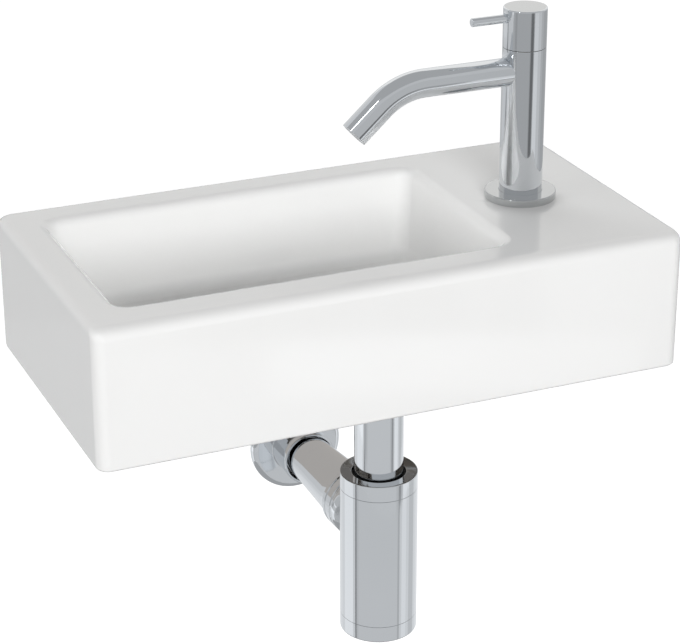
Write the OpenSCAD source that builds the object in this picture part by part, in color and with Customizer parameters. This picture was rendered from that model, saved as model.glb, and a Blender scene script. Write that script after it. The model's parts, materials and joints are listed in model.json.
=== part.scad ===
// Wall-hung hand basin with a pillar tap, a push-plug waste and a bottle trap.
// Origin: on the wall, midway between the two wall bolts. X right, Y into the wall, Z up. Millimetres.

/* [Basin] */
// Width of the basin
basin_w = 385; // [370:1:430]
// Depth of the basin from the wall to its front face
basin_d = 205; // [203:1:230]
// Height of the basin
basin_h = 90; // [86:1:110]
// Thickness of the ceramic walls
ceramic_t = 9; // [7:0.5:10]
// Round of the outer edges
edge_r = 5; // [3:0.5:7]
// Round of the bottom edges
foot_r = 2; // [1:0.5:3]
// Height of the deck above the wall bolts
deck_above_bolts = 50; // [48:1:54]

/* [Bowl] */
// Rim to the left of the bowl
rim_left_w = 25; // [22:1:30]
// Rim in front of the bowl
rim_front_w = 31; // [28:1:33]
// Rim behind the bowl
rim_back_w = 25; // [23:1:30]
// Width of the deck to the right of the bowl
deck_right_w = 108; // [105:1:116]
// Depth of the bowl at its walls
bowl_depth = 58; // [50:1:60]
// Fall of the bowl's floor towards the drain
bowl_fall = 4; // [2:0.5:5]
// Round of the rim into the bowl
rim_r = 6; // [4:0.5:8]
// Corner radius of the bowl's walls
bowl_corner_r = 10; // [9:0.5:16]
// Round between the bowl's walls and floor
bowl_floor_r = 8; // [5:0.5:8.5]
// Lean of the side walls over the bowl's depth
lean_side = 7; // [3:0.5:10]
// Lean of the back wall over the bowl's depth
lean_back = 9; // [7:0.5:12]
// Lean of the front wall over the bowl's depth
lean_front = 2.5; // [1:0.5:3]

/* [Wall fixing] */
// Distance between the wall bolts
bolt_spacing = 200; // [180:5:220]
// Radius of a wall bolt
bolt_r = 4; // [3:0.5:5]
// Length of a wall bolt inside the wall
bolt_grip = 60; // [40:5:80]
// Radius of the fixing holes in the ceramic
fixing_hole_r = 7; // [6.5:0.5:8]
// Radius of the fixing washers
fixing_washer_r = 10; // [9:0.5:11]
// Width of a fixing nut across its flats
fixing_nut_af = 13; // [12.5:0.5:15]

/* [Tap] */
// Distance of the tap from the basin's right side
tap_from_right = 63.8; // [58:0.1:68]
// Distance of the tap from the wall
tap_from_wall = 104; // [90:1:110]
// Radius of the tap hole in the deck
tap_hole_r = 17.5; // [16:0.5:18]
// Radius of the tap's body and handle
tap_r = 14; // [13.5:0.5:15]
// Radius of the base ring
base_ring_r = 23; // [22:0.5:26]
// Height of the base ring
base_ring_h = 5; // [4:0.5:7]
// Height of the body's top above the deck
tap_body_h = 100.5; // [95:0.1:120]
// Height of the handle
handle_h = 25.6; // [24:0.1:30]
// Distance of the spout's axis below the body's top
spout_below_top = 15.5; // [15:0.1:17]
// Radius of the spout's tube
spout_r = 9.1; // [9:0.1:10]
// Wall of the spout's tube
spout_wall = 1.5; // [1:0.1:2]
// Distance from the tap's axis to the start of the spout's bend
spout_reach = 69.5; // [50:0.5:90]
// Radius of the spout's bend
spout_bend_r = 45; // [30:1:60]
// Angle of the spout's bend
spout_bend = 42; // [20:1:60]
// Straight length after the bend
spout_tip = 24; // [18:1:40]
// Radius of the handle's lever
lever_r = 2.8; // [2.5:0.1:3.2]
// Reach of the lever's tip from the tap's axis
lever_reach = 37.7; // [30:0.1:50]
// Radius of the threaded shank, for a half-inch pipe thread
shank_r = 10.48; // [9:0.01:10.7]
// Length of the shank below the deck
shank_drop = 55; // [45:1:60]

/* [Waste] */
// Distance of the drain from the bowl's right wall
drain_from_right = 68; // [50:1:90]
// Distance of the drain from the basin's front face
drain_from_front = 72.5; // [72:0.5:80]
// Radius of the drain hole in the ceramic
drain_hole_r = 22.5; // [22:0.25:23]
// Radius of the waste's flange
waste_flange_r = 28.5; // [27:0.5:28.5]
// Radius of the waste's threaded tail
waste_tail_r = 20.95; // [20.5:0.05:21.2]
// Radius of the plug's cap
plug_r = 21; // [20:0.5:22]
// Travel of the plug
plug_travel = 8; // [5:0.5:10]

/* [Trap] */
// Radius of the tail pipe and of the outlet pipe
pipe_r = 16; // [15:0.1:16.2]
// Wall of both pipes
pipe_wall = 1.3; // [1:0.1:2]
// Distance from the basin's bottom to the trap's top
trap_drop = 72.7; // [50:0.1:100]
// Radius of the trap
trap_r = 25.4; // [24.8:0.1:28]
// Height of the trap
trap_h = 115; // [105:1:150]
// Height of the collar on top of the trap
collar_h = 10.9; // [10:0.1:14]
// Height of the cup that closes the trap's bottom
cup_h = 11.5; // [11:0.1:20]
// Distance from the trap's top to the outlet's axis
outlet_drop = 39.3; // [39:0.1:50]
// Distance of the wall waste from the drain, along the wall
wall_waste_dx = -6.5; // [-6.5:0.5:6.5]
// Length of the outlet pipe behind the wall's face
outlet_grip = 30; // [20:1:60]
// Radius of the wall rosette
rosette_r = 33; // [30:0.5:40]

/* [Hidden] */
$fn = 72;

// Clearances
gap = 0.05;        // radial play of a running or screwed fit
seat_gap = 0.3;    // play between a moving face and what it closes on
cut = 1;           // how far a cut runs past the face that it opens

// Levels and places of the basin
deck_z = deck_above_bolts;
base_z = deck_z - basin_h;
bowl_x0 = -basin_w / 2 + rim_left_w;
bowl_x1 = basin_w / 2 - deck_right_w;
bowl_y0 = -basin_d + rim_front_w;
bowl_y1 = -rim_back_w;
seat_z = deck_z - bowl_depth - bowl_fall;
hole_boss_w = 10;
drain_seat_play = 1;
drain_seat_r = waste_flange_r + drain_seat_play;
drain_boss_extra = 2;
drain_boss_t = ceramic_t + drain_boss_extra;
drain_boss_r = drain_hole_r + hole_boss_w;
drain_under_z = seat_z - drain_boss_t;
tap_boss_extra = 3;
tap_deck_t = ceramic_t + tap_boss_extra;
tap_under_z = deck_z - tap_deck_t;
tap_boss_r = tap_hole_r + hole_boss_w;
corner_steps = 6;
round_steps = 5;

// Places of the tap and of the waste
tap_x = basin_w / 2 - tap_from_right;
tap_y = -tap_from_wall;
drain_x = bowl_x1 - drain_from_right;
drain_y = -basin_d + drain_from_front;

// Wall fixing
bolt_thread_depth = 0.4;
bolt_neck_r = bolt_r - bolt_thread_depth;
bush_bore_r = bolt_neck_r + gap;
bush_r = fixing_hole_r - gap;
bush_flange_t = 2;
bush_flange_w = 3;
bush_flange_r = fixing_hole_r + bush_flange_w;
fixing_washer_t = 1.6;
fixing_nut_t = 6.5;
bolt_tip = 2.4;
fixing_washer_y = -ceramic_t - bush_flange_t;
fixing_nut_y = fixing_washer_y - fixing_washer_t;
bolt_front_y = fixing_nut_y - fixing_nut_t - bolt_tip;
bolt_point_l = 8;

// Tap body and its foot
foot_step = 2;
foot_play = 0.5;
foot_spigot_wall = 1.6;
foot_spigot_r = shank_r + foot_spigot_wall;
base_seal_t = 1.5;
base_ring_inner_w = 3;
base_ring_outer_w = 1.5;
base_seal_in_r = foot_spigot_r + base_ring_inner_w;
base_seal_out_r = base_ring_r - base_ring_outer_w;
edge_break = 0.8;
shank_in = 16;
waterway_r = 5;
shank_bore_r = 6;
rubber_washer_t = 3;
steel_washer_t = 2;
tap_washer_w = 6;
tap_washer_r = tap_hole_r + tap_washer_w;
backnut_af = 30;
backnut_h = 8;
shank_groove_w = 1;
shank_groove_depth = 0.7;
shank_top_z = deck_z + shank_in;
shank_end_z = deck_z - shank_drop;
steel_washer_z = tap_under_z - rubber_washer_t - steel_washer_t;
backnut_z = steel_washer_z - backnut_h;

// Valve, from the body's top down to its seat
body_top_z = deck_z + tap_body_h;
chamber_wall = 4;
chamber_r = tap_r - chamber_wall;
chamber_depth = 31.4;
chamber_z = body_top_z - chamber_depth;
seat_seal_t = 2.5;
headwork_r = chamber_r - 2 * gap;
headwork_z = chamber_z + seat_seal_t;
waist_relief = 1.6;
headwork_waist_r = headwork_r - waist_relief;
headwork_wall = 1.9;
disc_room_wall = 1.2;
disc_room_r = headwork_waist_r - disc_room_wall;
disc_t = 3;
disc_gap = 0.05;
disc_play = 0.15;
disc_sink = 0.4;
disc_web = 1.4;
fixed_disc_z = headwork_z + disc_sink;
turning_disc_z = fixed_disc_z + disc_t + disc_gap;
disc_r = disc_room_r - disc_play;
spindle_foot_z = turning_disc_z + disc_t + disc_gap;
spindle_foot_t = 2;
disc_room_top_z = spindle_foot_z + spindle_foot_t + seat_gap;
spindle_r = 3;
spindle_head_r = 4;
window_r = 2.4;
waist_h = 20;
waist_top_z = headwork_z + waist_h;
tongue_w = 2.4;
tongue_l = 7;
tongue_h = 1.5;
oring_t = 2;
oring_depth = 1.5;
oring_land = 2.2;
headwork_seal_z = waist_top_z + oring_land;
spindle_seal_z = body_top_z - oring_t;
spindle_seal_r = spindle_r + oring_depth;
hex_af = 17;
hex_h = 5;
hex_flange_w = 1;
hex_flange_r = chamber_r + hex_flange_w;
hex_flange_t = 0.8;

// Handle
handle_gap = 0.3;
handle_z = body_top_z + handle_gap;
handle_top_z = handle_z + handle_h;
handle_wall = 2.6;
handle_cavity_r = tap_r - handle_wall;
handle_cavity_h = 9;
spline_count = 20;
spline_depth = 0.35;
spindle_lap = 0.5;
spindle_in = 17.6;
spline_start = 6.5;
spindle_top_z = handle_z + spindle_in;
spindle_head_z = handle_z + spline_start;
lever_below_top = 6.4;
lever_step = 0.5;
lever_z = handle_top_z - lever_below_top;
lever_root_r = lever_r - lever_step;
lever_socket = 8.5;
lever_shoulder = 4;
lever_end_round = 0.7;
grub_r = 2;
grub_up = 12.6;
grub_z = handle_z + grub_up;
grub_l = 7.5;
grub_hex_af = 2;

// Spout
spout_z = body_top_z - spout_below_top;
spout_bore_r = spout_r - spout_wall;
spigot_step = 0.9;
spigot_play = 0.4;
spigot_r = spout_r - spigot_step;
spigot_start = chamber_r + spigot_play;
spigot_lap = 2;
tip_lap = 0.05;
tip_step = 0.02;
aerator_l = 9;
aerator_wall = 1.2;
aerator_recess = 0.6;
screen_t = 1;
screen_hole_r = 0.7;
screen_rows = 2;
screen_pitch = 2.6;

// Waste, from its flange down
top_seal_t = 1;
flange_t = 3;
flange_edge_t = 0.8;
flange_z = seat_z + top_seal_t;
flange_top_z = flange_z + flange_t;
plug_recess_depth = 1.8;
plug_play = 0.6;
flange_lip_w = 1.5;
flange_break = 0.3;
plug_recess_r = plug_r + plug_play;
plug_ledge_z = flange_top_z - plug_recess_depth;
waste_tail_wall = 2.95;
waste_bore_r = waste_tail_r - waste_tail_wall;
tail_len = 38;
waste_end_z = flange_z - tail_len;
socket_play = 0.35;
socket_r = pipe_r + socket_play;
socket_len = 13.5;
guide_z = waste_end_z + socket_len;
under_seal_t = 3;
waste_washer_t = 1.5;
waste_nut_h = 8.5;
waste_nut_af = 50;
thread_r = waste_tail_r + gap;
waste_washer_z = drain_under_z - under_seal_t - waste_washer_t;
waste_nut_z = waste_washer_z - waste_nut_h;
under_seal_w = 7;
washer_step = 1;
under_seal_r = drain_hole_r + under_seal_w;

// Push plug, drawn open
plug_seal_t = 1;
plug_seal_w = 2.4;
plug_edge_t = 2.5;
plug_crown = 1.5;
plug_under_z = plug_ledge_z + seat_gap + plug_seal_t + plug_travel;
plug_hub_r = 6;
plug_hub_t = 2.5;
plug_seal_step = 0.4;
plug_seal_r = plug_r - plug_seal_step;
stem_r = 3;
stem_stop_r = 4.6;
stem_stop_t = 3;
guide_hub_r = 5.6;
guide_hub_h = 13;
guide_rim_h = 4;
guide_rim_w = 1.6;
guide_spokes = 3;
spoke_w = 2.4;
guide_r = waste_bore_r - 2 * gap;

// Tail pipe and its coupling nut
pipe_bore_r = pipe_r - pipe_wall;
tail_pipe_lap = 8;
tail_nut_lap = 8.5;
tail_nut_below = 12;
tail_nut_wall = 4.2;
tail_nut_chamfer_h = 3;
tail_nut_chamfer_w = 2.5;
tail_pipe_top_z = waste_end_z + tail_pipe_lap;
tail_seal_l = 7;
tail_seal_step = 0.4;
tail_seal_r = waste_tail_r - tail_seal_step;
tail_nut_r = waste_tail_r + tail_nut_wall;
tail_nut_top_z = waste_end_z + tail_nut_lap;
tail_nut_end_z = waste_end_z - tail_nut_below;
seal_end_w = 2;
nut_lip_t = 2;
lip_play = 0.35;

// Bottle trap
trap_top_z = base_z - trap_drop;
collar_z = trap_top_z - collar_h;
trap_end_z = trap_top_z - trap_h;
cup_z = trap_end_z + cup_h;
joint_gap = 0.15;
trap_wall = 2.2;
trap_bore_r = trap_r - trap_wall;
collar_wall = 2.8;
neck_wall = 2.4;
neck_r = trap_r - collar_wall;
neck_drop = 6;
lip_drop = 4.5;
dish_drop = 0.5;
neck_top_z = trap_top_z - neck_drop;
collar_lip_z = trap_top_z - lip_drop;
collar_dish_z = trap_top_z - dish_drop;
collar_edge_w = 0.8;
collar_mouth_play = 1.8;
collar_mouth_r = pipe_r + collar_mouth_play;
trap_seal_sink = 1.2;
trap_seal_z = collar_z - trap_seal_sink;
trap_seal_r = neck_r - neck_wall;
trap_seal_lip_drop = 2.5;
trap_seal_lip_z = trap_top_z - trap_seal_lip_drop;
shelf_t = 6;
shelf_z = trap_seal_z - shelf_t;
dip_l = 88;
dip_end_z = trap_top_z - dip_l;
cup_wall = 2.5;
cup_spigot_h = 8.5;
cup_spigot_r = trap_bore_r - gap;
cup_edge_r = 1.2;
cup_groove_up = 3.6;
cup_groove_z = cup_z + cup_groove_up;
cup_groove_h = 2.4;
cup_groove_r = cup_spigot_r - oring_depth;

// Outlet, along its own axis from the trap to the wall
outlet_z = trap_top_z - outlet_drop;
outlet_swing = atan2(-wall_waste_dx, -drain_y);
outlet_run = norm([wall_waste_dx, drain_y]);
outlet_boss_wall = 3.6;
outlet_ring_wall = 5.5;
outlet_ring_l = 2;
outlet_boss_l = 9;
outlet_socket_start = 1;
outlet_boss_r = pipe_r + outlet_boss_wall;
outlet_ring_r = pipe_r + outlet_ring_wall;
outlet_ring_y = trap_r + outlet_ring_l;
outlet_boss_y = trap_r + outlet_boss_l;
outlet_socket_y = trap_r + outlet_socket_start;
outlet_seal_l = 4;
outlet_nut_y = outlet_ring_y + joint_gap;
outlet_nut_ring_l = 13.5;
outlet_flare_l = 5.5;
outlet_flare_w = 2.4;
outlet_cone_l = 41;
outlet_nut_tip_w = 0.6;
groove_depth = 0.7;
groove_starts = [1.5, 8.7];
groove_slope = 0.4;
groove_floor = 0.8;
outlet_end_step = 0.2;
outlet_end_r = pipe_r - outlet_end_step;
rosette_plate = 6.2;
rosette_collar = 29;
rosette_x = drain_x + wall_waste_dx * (1 + rosette_collar / 2 / drain_y);
rosette_wall = 1.6;
rosette_edge_r = 3;
rosette_play = 1;
rosette_bore_r = pipe_r + rosette_play;

// A solid turned about the Z axis from its half profile
module turned(profile) {
    rotate_extrude() polygon(profile);
}

// A flat ring that stands on z
module ring(r_out, r_in, z, h) {
    translate([0, 0, z]) difference() {
        cylinder(h = h, r = r_out);
        translate([0, 0, -cut]) cylinder(h = h + 2 * cut, r = r_in);
    }
}

// A hexagonal nut that stands on z
module hex_nut(af, bore_r, z, h) {
    translate([0, 0, z]) difference() {
        cylinder(h = h, r = af / sqrt(3), $fn = 6);
        translate([0, 0, -cut]) cylinder(h = h + 2 * cut, r = bore_r);
    }
}

module at_tap() {
    translate([tap_x, tap_y, 0]) children();
}

module at_drain() {
    translate([drain_x, drain_y, 0]) children();
}

// Along the outlet: its local Z axis runs from the trap's axis to the wall
module along_outlet() {
    at_drain() translate([0, 0, outlet_z]) rotate([0, 0, outlet_swing]) rotate([-90, 0, 0]) children();
}

// At each wall bolt, with the local Z axis into the wall
module at_wall_bolts() {
    for (side = [-1, 1])
        translate([side * bolt_spacing / 2, 0, 0]) rotate([-90, 0, 0]) children();
}

// Points round a rectangle with rounded corners at height z
function rounded_ring(x0, x1, y0, y1, r, z) =
    [for (corner = [[x1 - r, y1 - r, 0], [x0 + r, y1 - r, 90], [x0 + r, y0 + r, 180], [x1 - r, y0 + r, 270]])
        for (i = [0 : corner_steps])
            let (a = corner[2] + 90 * i / corner_steps)
            [corner[0] + r * cos(a), corner[1] + r * sin(a), z]];

// The same points drawn onto a circle round the drain
function drain_ring(from, r, z) =
    [for (p = from)
        let (a = atan2(p[1] - drain_y, p[0] - drain_x))
        [drain_x + r * cos(a), drain_y + r * sin(a), z]];

// A closed solid through rings of equal length, from the lowest to the highest
module loft(rings) {
    n = len(rings[0]);
    points = [for (one = rings) each one];
    floor_face = [[for (i = [0 : n - 1]) i]];
    roof_face = [[for (i = [n - 1 : -1 : 0]) (len(rings) - 1) * n + i]];
    sides = [for (k = [0 : len(rings) - 2])
        for (i = [0 : n - 1])
            let (j = (i + 1) % n, low = k * n, high = low + n)
            each [[low + i, high + i, high + j], [low + i, high + j, low + j]]];
    polyhedron(points = points, faces = concat(floor_face, sides, roof_face));
}

// Outline of the basin at height z, drawn in by inset
function outer_ring(inset, z) =
    rounded_ring(-basin_w / 2 + inset, basin_w / 2 - inset, -basin_d + inset, 0 - inset,
                 max(edge_r - inset, foot_r / 2), z);

// Outline of the bowl at a depth below the deck, spread by a distance
function bowl_ring(depth, spread, z) =
    let (lean = min(depth / bowl_depth, 1))
    rounded_ring(bowl_x0 + lean_side * lean - spread, bowl_x1 - lean_side * lean + spread,
                 bowl_y0 + lean_front * lean - spread, bowl_y1 - lean_back * lean + spread,
                 bowl_corner_r + spread, z);

// Rings of the bowl's wall and floor, grown outwards by the wall's thickness
function bowl_wall_rings(grow) =
    [for (k = [round_steps : -1 : 0])
        let (a = 90 * k / round_steps, depth = bowl_depth - bowl_floor_r + bowl_floor_r * sin(a))
        bowl_ring(depth, grow - (bowl_floor_r + grow) * (1 - cos(a)),
                  deck_z - (bowl_depth - bowl_floor_r) - (bowl_floor_r + grow) * sin(a))];

function rim_rings() =
    [for (k = [round_steps : -1 : 0])
        let (a = 90 * k / round_steps, depth = rim_r * (1 - cos(a)))
        bowl_ring(depth, rim_r * (1 - sin(a)), deck_z - depth)];

module bowl_space() {
    wall = bowl_wall_rings(0);
    drain = drain_ring(wall[0], drain_hole_r, seat_z);
    loft(concat([drain], wall, rim_rings(), [bowl_ring(0, rim_r, deck_z + cut)]));
    at_drain() translate([0, 0, seat_z])
        cylinder(h = bowl_fall, r1 = drain_seat_r, r2 = drain_seat_r + bowl_fall / 2);
}

module bowl_shell() {
    wall = bowl_wall_rings(ceramic_t);
    under = drain_ring(wall[0], drain_seat_r, seat_z - ceramic_t);
    loft(concat([under], wall, [bowl_ring(0, ceramic_t, deck_z - ceramic_t / 2)]));
}

module basin_block() {
    top = [for (k = [0 : round_steps])
        let (a = 90 * k / round_steps) outer_ring(edge_r * (1 - cos(a)), deck_z - edge_r * (1 - sin(a)))];
    foot = [for (k = [round_steps : -1 : 0])
        let (a = 90 * k / round_steps) outer_ring(foot_r * (1 - cos(a)), base_z + foot_r * (1 - sin(a)))];
    loft(concat(foot, top));
}

module basin_hollow() {
    loft([for (z = [base_z - cut, deck_z - ceramic_t])
        rounded_ring(-basin_w / 2 + ceramic_t, basin_w / 2 - ceramic_t,
                     -basin_d + ceramic_t, -ceramic_t, edge_r, z)]);
}

module basin() {
    color("white") difference() {
        union() {
            difference() {
                basin_block();
                basin_hollow();
            }
            bowl_shell();
            at_tap() translate([0, 0, tap_under_z]) cylinder(h = tap_deck_t - ceramic_t / 2, r = tap_boss_r);
            at_drain() translate([0, 0, drain_under_z]) cylinder(h = drain_boss_t, r = drain_boss_r);
        }
        bowl_space();
        at_tap() translate([0, 0, base_z]) cylinder(h = basin_h + cut, r = tap_hole_r);
        at_drain() translate([0, 0, base_z]) cylinder(h = basin_h, r = drain_hole_r);
        at_wall_bolts() translate([0, 0, -ceramic_t - cut]) cylinder(h = ceramic_t + 2 * cut, r = fixing_hole_r);
    }
}

// The end that takes the nut is drawn at its thread's mean radius
module wall_bolts() {
    color("silver") at_wall_bolts() turned([
        [0, bolt_front_y], [bolt_neck_r, bolt_front_y], [bolt_neck_r, 0], [bolt_r, 0],
        [bolt_r, bolt_grip], [bolt_r / 4, bolt_grip + bolt_point_l], [0, bolt_grip + bolt_point_l]]);
}

module fixing_bushes() {
    color("whitesmoke") at_wall_bolts() turned([
        [bush_bore_r, fixing_washer_y], [bush_flange_r, fixing_washer_y],
        [bush_flange_r, -ceramic_t], [bush_r, -ceramic_t], [bush_r, -seat_gap], [bush_bore_r, -seat_gap]]);
}

module fixing_washers() {
    color("silver") at_wall_bolts() ring(fixing_washer_r, bush_bore_r, fixing_nut_y, fixing_washer_t);
}

module fixing_nuts() {
    color("silver") at_wall_bolts()
        hex_nut(fixing_nut_af, bush_bore_r, fixing_nut_y - fixing_nut_t, fixing_nut_t);
}

module tap_base_seal() {
    color("black") at_tap() ring(base_seal_out_r - gap, base_seal_in_r + gap, deck_z, base_seal_t);
}

module tap_base_ring() {
    top = deck_z + base_ring_h;
    step = deck_z + foot_step + base_seal_t;
    color("silver") at_tap() turned([
        [foot_spigot_r + gap, deck_z], [base_seal_in_r, deck_z],
        [base_seal_in_r, deck_z + base_seal_t + gap], [base_seal_out_r, deck_z + base_seal_t + gap],
        [base_seal_out_r, deck_z], [base_ring_r, deck_z],
        [base_ring_r, top - edge_break], [base_ring_r - edge_break / 3, top - edge_break / 3],
        [base_ring_r - edge_break, top], [tap_r + gap, top],
        [tap_r + gap, step], [foot_spigot_r + gap, step]]);
}

module tap_body() {
    step = deck_z + foot_step + base_seal_t;
    color("silver") at_tap() difference() {
        turned([
            [0, deck_z + foot_play], [foot_spigot_r, deck_z + foot_play], [foot_spigot_r, step],
            [tap_r, step], [tap_r, body_top_z], [0, body_top_z]]);
        translate([0, 0, deck_z]) cylinder(h = shank_in + gap, r = shank_r + gap);
        translate([0, 0, deck_z]) cylinder(h = tap_body_h, r = waterway_r);
        translate([0, 0, chamber_z]) cylinder(h = chamber_depth + cut, r = chamber_r);
        translate([0, 0, spout_z]) rotate([0, -90, 0]) cylinder(h = tap_r + cut, r = spigot_r + gap);
    }
}

// The spout's tube from the tap's axis to its tip, whose radius may differ by a hair
module spout_tube(r, tip_r, over) {
    rotate([0, -90, 0]) cylinder(h = spout_reach, r = r);
    translate([-spout_reach, 0, -spout_bend_r]) rotate([90, 0, 0])
        rotate([0, 0, 90]) rotate_extrude(angle = spout_bend) translate([spout_bend_r, 0]) circle(r = r);
    at_spout_tip() translate([0, 0, -spout_tip - tip_lap]) cylinder(h = spout_tip + tip_lap + over, r = tip_r);
}

// At the spout's open end, with the local Z axis pointing out of it
module at_spout_tip() {
    translate([-spout_reach, 0, -spout_bend_r]) rotate([0, -spout_bend, 0])
        translate([0, 0, spout_bend_r]) rotate([0, -90, 0]) translate([0, 0, spout_tip]) children();
}

module tap_spout() {
    color("silver") at_tap() translate([0, 0, spout_z]) difference() {
        union() {
            difference() {
                spout_tube(spout_r, spout_r + tip_step, 0);
                translate([0, 0, -spout_r - cut]) cylinder(h = 2 * (spout_r + cut), r = tap_r + gap);
            }
            translate([-spigot_start, 0, 0]) rotate([0, -90, 0])
                cylinder(h = tap_r + spigot_lap - spigot_start, r = spigot_r);
        }
        spout_tube(spout_bore_r, spout_bore_r - tip_step, cut);
    }
}

module aerator_sleeve() {
    color("gainsboro") at_tap() translate([0, 0, spout_z]) at_spout_tip()
        ring(spout_bore_r - gap, spout_bore_r - aerator_wall, -aerator_recess - aerator_l, aerator_l);
}

module aerator_screen() {
    color("gray") at_tap() translate([0, 0, spout_z]) at_spout_tip()
        translate([0, 0, -aerator_recess - screen_t]) difference() {
            cylinder(h = screen_t, r = spout_bore_r - aerator_wall - gap);
            for (row = [0 : screen_rows], k = [0 : max(6 * row - 1, 0)])
                rotate([0, 0, 60 * k / max(row, 1)]) translate([row * screen_pitch, 0, -cut])
                    cylinder(h = screen_t + 2 * cut, r = screen_hole_r, $fn = 16);
        }
}

module tap_shank() {
    groove = backnut_z - shank_groove_w;
    color("goldenrod") at_tap() turned([
        [shank_bore_r, shank_end_z], [shank_r, shank_end_z], [shank_r, groove],
        [shank_r - shank_groove_depth, groove], [shank_r - shank_groove_depth, backnut_z],
        [shank_r, backnut_z], [shank_r, shank_top_z], [shank_bore_r, shank_top_z]]);
}

module tap_rubber_washer() {
    color("black") at_tap() ring(tap_washer_r, shank_r + gap, tap_under_z - rubber_washer_t, rubber_washer_t);
}

module tap_steel_washer() {
    color("silver") at_tap() ring(tap_washer_r - washer_step, shank_r + gap, steel_washer_z, steel_washer_t);
}

module tap_backnut() {
    color("goldenrod") at_tap() hex_nut(backnut_af, shank_r + gap, backnut_z, backnut_h);
}

module headwork_body() {
    color("goldenrod") at_tap() difference() {
        union() {
            turned([
                [0, headwork_z], [headwork_r, headwork_z], [headwork_r, headwork_z + headwork_wall / 2],
                [headwork_waist_r, headwork_z + headwork_wall / 2], [headwork_waist_r, waist_top_z],
                [headwork_r, waist_top_z], [headwork_r, headwork_seal_z],
                [headwork_r - oring_depth, headwork_seal_z],
                [headwork_r - oring_depth, headwork_seal_z + oring_t],
                [headwork_r, headwork_seal_z + oring_t], [headwork_r, body_top_z],
                [hex_flange_r, body_top_z], [hex_flange_r, body_top_z + hex_flange_t],
                [0, body_top_z + hex_flange_t]]);
            translate([0, 0, body_top_z]) cylinder(h = hex_h, r = hex_af / sqrt(3), $fn = 6);
        }
        translate([0, 0, headwork_z - cut]) cylinder(h = disc_room_top_z - headwork_z + cut, r = disc_room_r);
        translate([0, 0, headwork_z]) cylinder(h = body_top_z + hex_h, r = spindle_r + gap);
        translate([0, 0, spindle_seal_z]) cylinder(h = oring_t, r = spindle_seal_r);
        for (turn = [0, 90]) rotate([0, 0, turn]) translate([0, 0, turning_disc_z + disc_t / 2])
            rotate([0, 90, 0]) cylinder(h = 2 * headwork_r, r = window_r, center = true);
    }
}

module headwork_seal() {
    color("black") at_tap()
        ring(chamber_r - gap, headwork_r - oring_depth + gap, headwork_seal_z + gap, oring_t - 2 * gap);
}

module seat_seal() {
    color("black") at_tap() ring(headwork_r - gap, waterway_r, chamber_z, seat_seal_t);
}

// A ceramic disc with two opposite openings a quarter of a turn wide
module ceramic_disc(r, z) {
    translate([0, 0, z]) difference() {
        cylinder(h = disc_t, r = r);
        for (side = [0, 180]) rotate([0, 0, side + 45]) translate([0, 0, -cut])
            linear_extrude(disc_t + 2 * cut) polygon([[disc_web, 0], [r - disc_web, disc_web - r / 2], [r - disc_web, r / 2 - disc_web]]);
    }
}

module fixed_disc() {
    color("ivory") at_tap() ceramic_disc(disc_r, fixed_disc_z);
}

module turning_disc() {
    color("ivory") at_tap() difference() {
        rotate([0, 0, 90]) ceramic_disc(disc_r, turning_disc_z);
        translate([-tongue_l / 2 - gap, -tongue_w / 2 - gap, turning_disc_z + disc_t - tongue_h - gap])
            cube([tongue_l + 2 * gap, tongue_w + 2 * gap, tongue_h + cut]);
    }
}

module valve_spindle() {
    color("goldenrod") at_tap() {
        translate([0, 0, spindle_foot_z]) cylinder(h = spindle_foot_t, r = disc_r);
        translate([-tongue_l / 2, -tongue_w / 2, spindle_foot_z - tongue_h])
            cube([tongue_l, tongue_w, tongue_h + spindle_lap]);
        translate([0, 0, spindle_foot_z]) cylinder(h = spindle_head_z - spindle_foot_z + spindle_lap, r = spindle_r);
        translate([0, 0, spindle_head_z]) linear_extrude(spindle_top_z - spindle_head_z)
            polygon([for (i = [0 : 2 * spline_count - 1])
                let (a = 180 * i / spline_count, r = spindle_head_r - (i % 2) * spline_depth)
                [r * cos(a), r * sin(a)]]);
    }
}

module spindle_seal() {
    color("black") at_tap()
        ring(spindle_seal_r - gap, spindle_r + gap, spindle_seal_z + gap, oring_t - 2 * gap);
}

module tap_handle() {
    color("silver") at_tap() difference() {
        turned([
            [0, handle_z], [tap_r, handle_z], [tap_r, handle_top_z - edge_break],
            [tap_r - edge_break / 3, handle_top_z - edge_break / 3], [tap_r - edge_break, handle_top_z],
            [0, handle_top_z]]);
        translate([0, 0, handle_z - cut]) cylinder(h = handle_cavity_h + cut, r = handle_cavity_r);
        translate([0, 0, handle_z]) cylinder(h = spindle_top_z + gap - handle_z, r = spindle_head_r + gap);
        translate([0, 0, lever_z]) rotate([0, -90, 0]) translate([0, 0, tap_r - lever_shoulder])
            cylinder(h = lever_shoulder + cut, r = lever_r + gap);
        translate([0, 0, lever_z]) rotate([0, -90, 0]) translate([0, 0, tap_r - lever_socket])
            cylinder(h = lever_socket, r = lever_root_r + gap);
        translate([0, 0, grub_z]) rotate([-90, 0, 0]) cylinder(h = tap_r + cut, r = grub_r + gap);
    }
}

module handle_lever() {
    root = tap_r - lever_socket + seat_gap;
    color("silver") at_tap() translate([0, 0, lever_z]) rotate([0, -90, 0]) turned([
        [0, root], [lever_root_r, root], [lever_root_r, tap_r - lever_shoulder + gap],
        [lever_r, tap_r - lever_shoulder + gap], [lever_r, lever_reach - lever_end_round],
        [lever_r - lever_end_round / 3, lever_reach - lever_end_round / 3],
        [lever_r - lever_end_round, lever_reach], [0, lever_reach]]);
}

module grub_screw() {
    color("dimgray") at_tap() translate([0, 0, grub_z]) rotate([-90, 0, 0])
        translate([0, 0, spindle_head_r + gap]) difference() {
            cylinder(h = grub_l, r = grub_r);
            translate([0, 0, grub_l / 2]) cylinder(h = grub_l, r = grub_hex_af / sqrt(3), $fn = 6);
        }
}

module waste_top_seal() {
    color("black") at_drain() ring(waste_flange_r - washer_step, thread_r, seat_z, top_seal_t);
}

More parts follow.
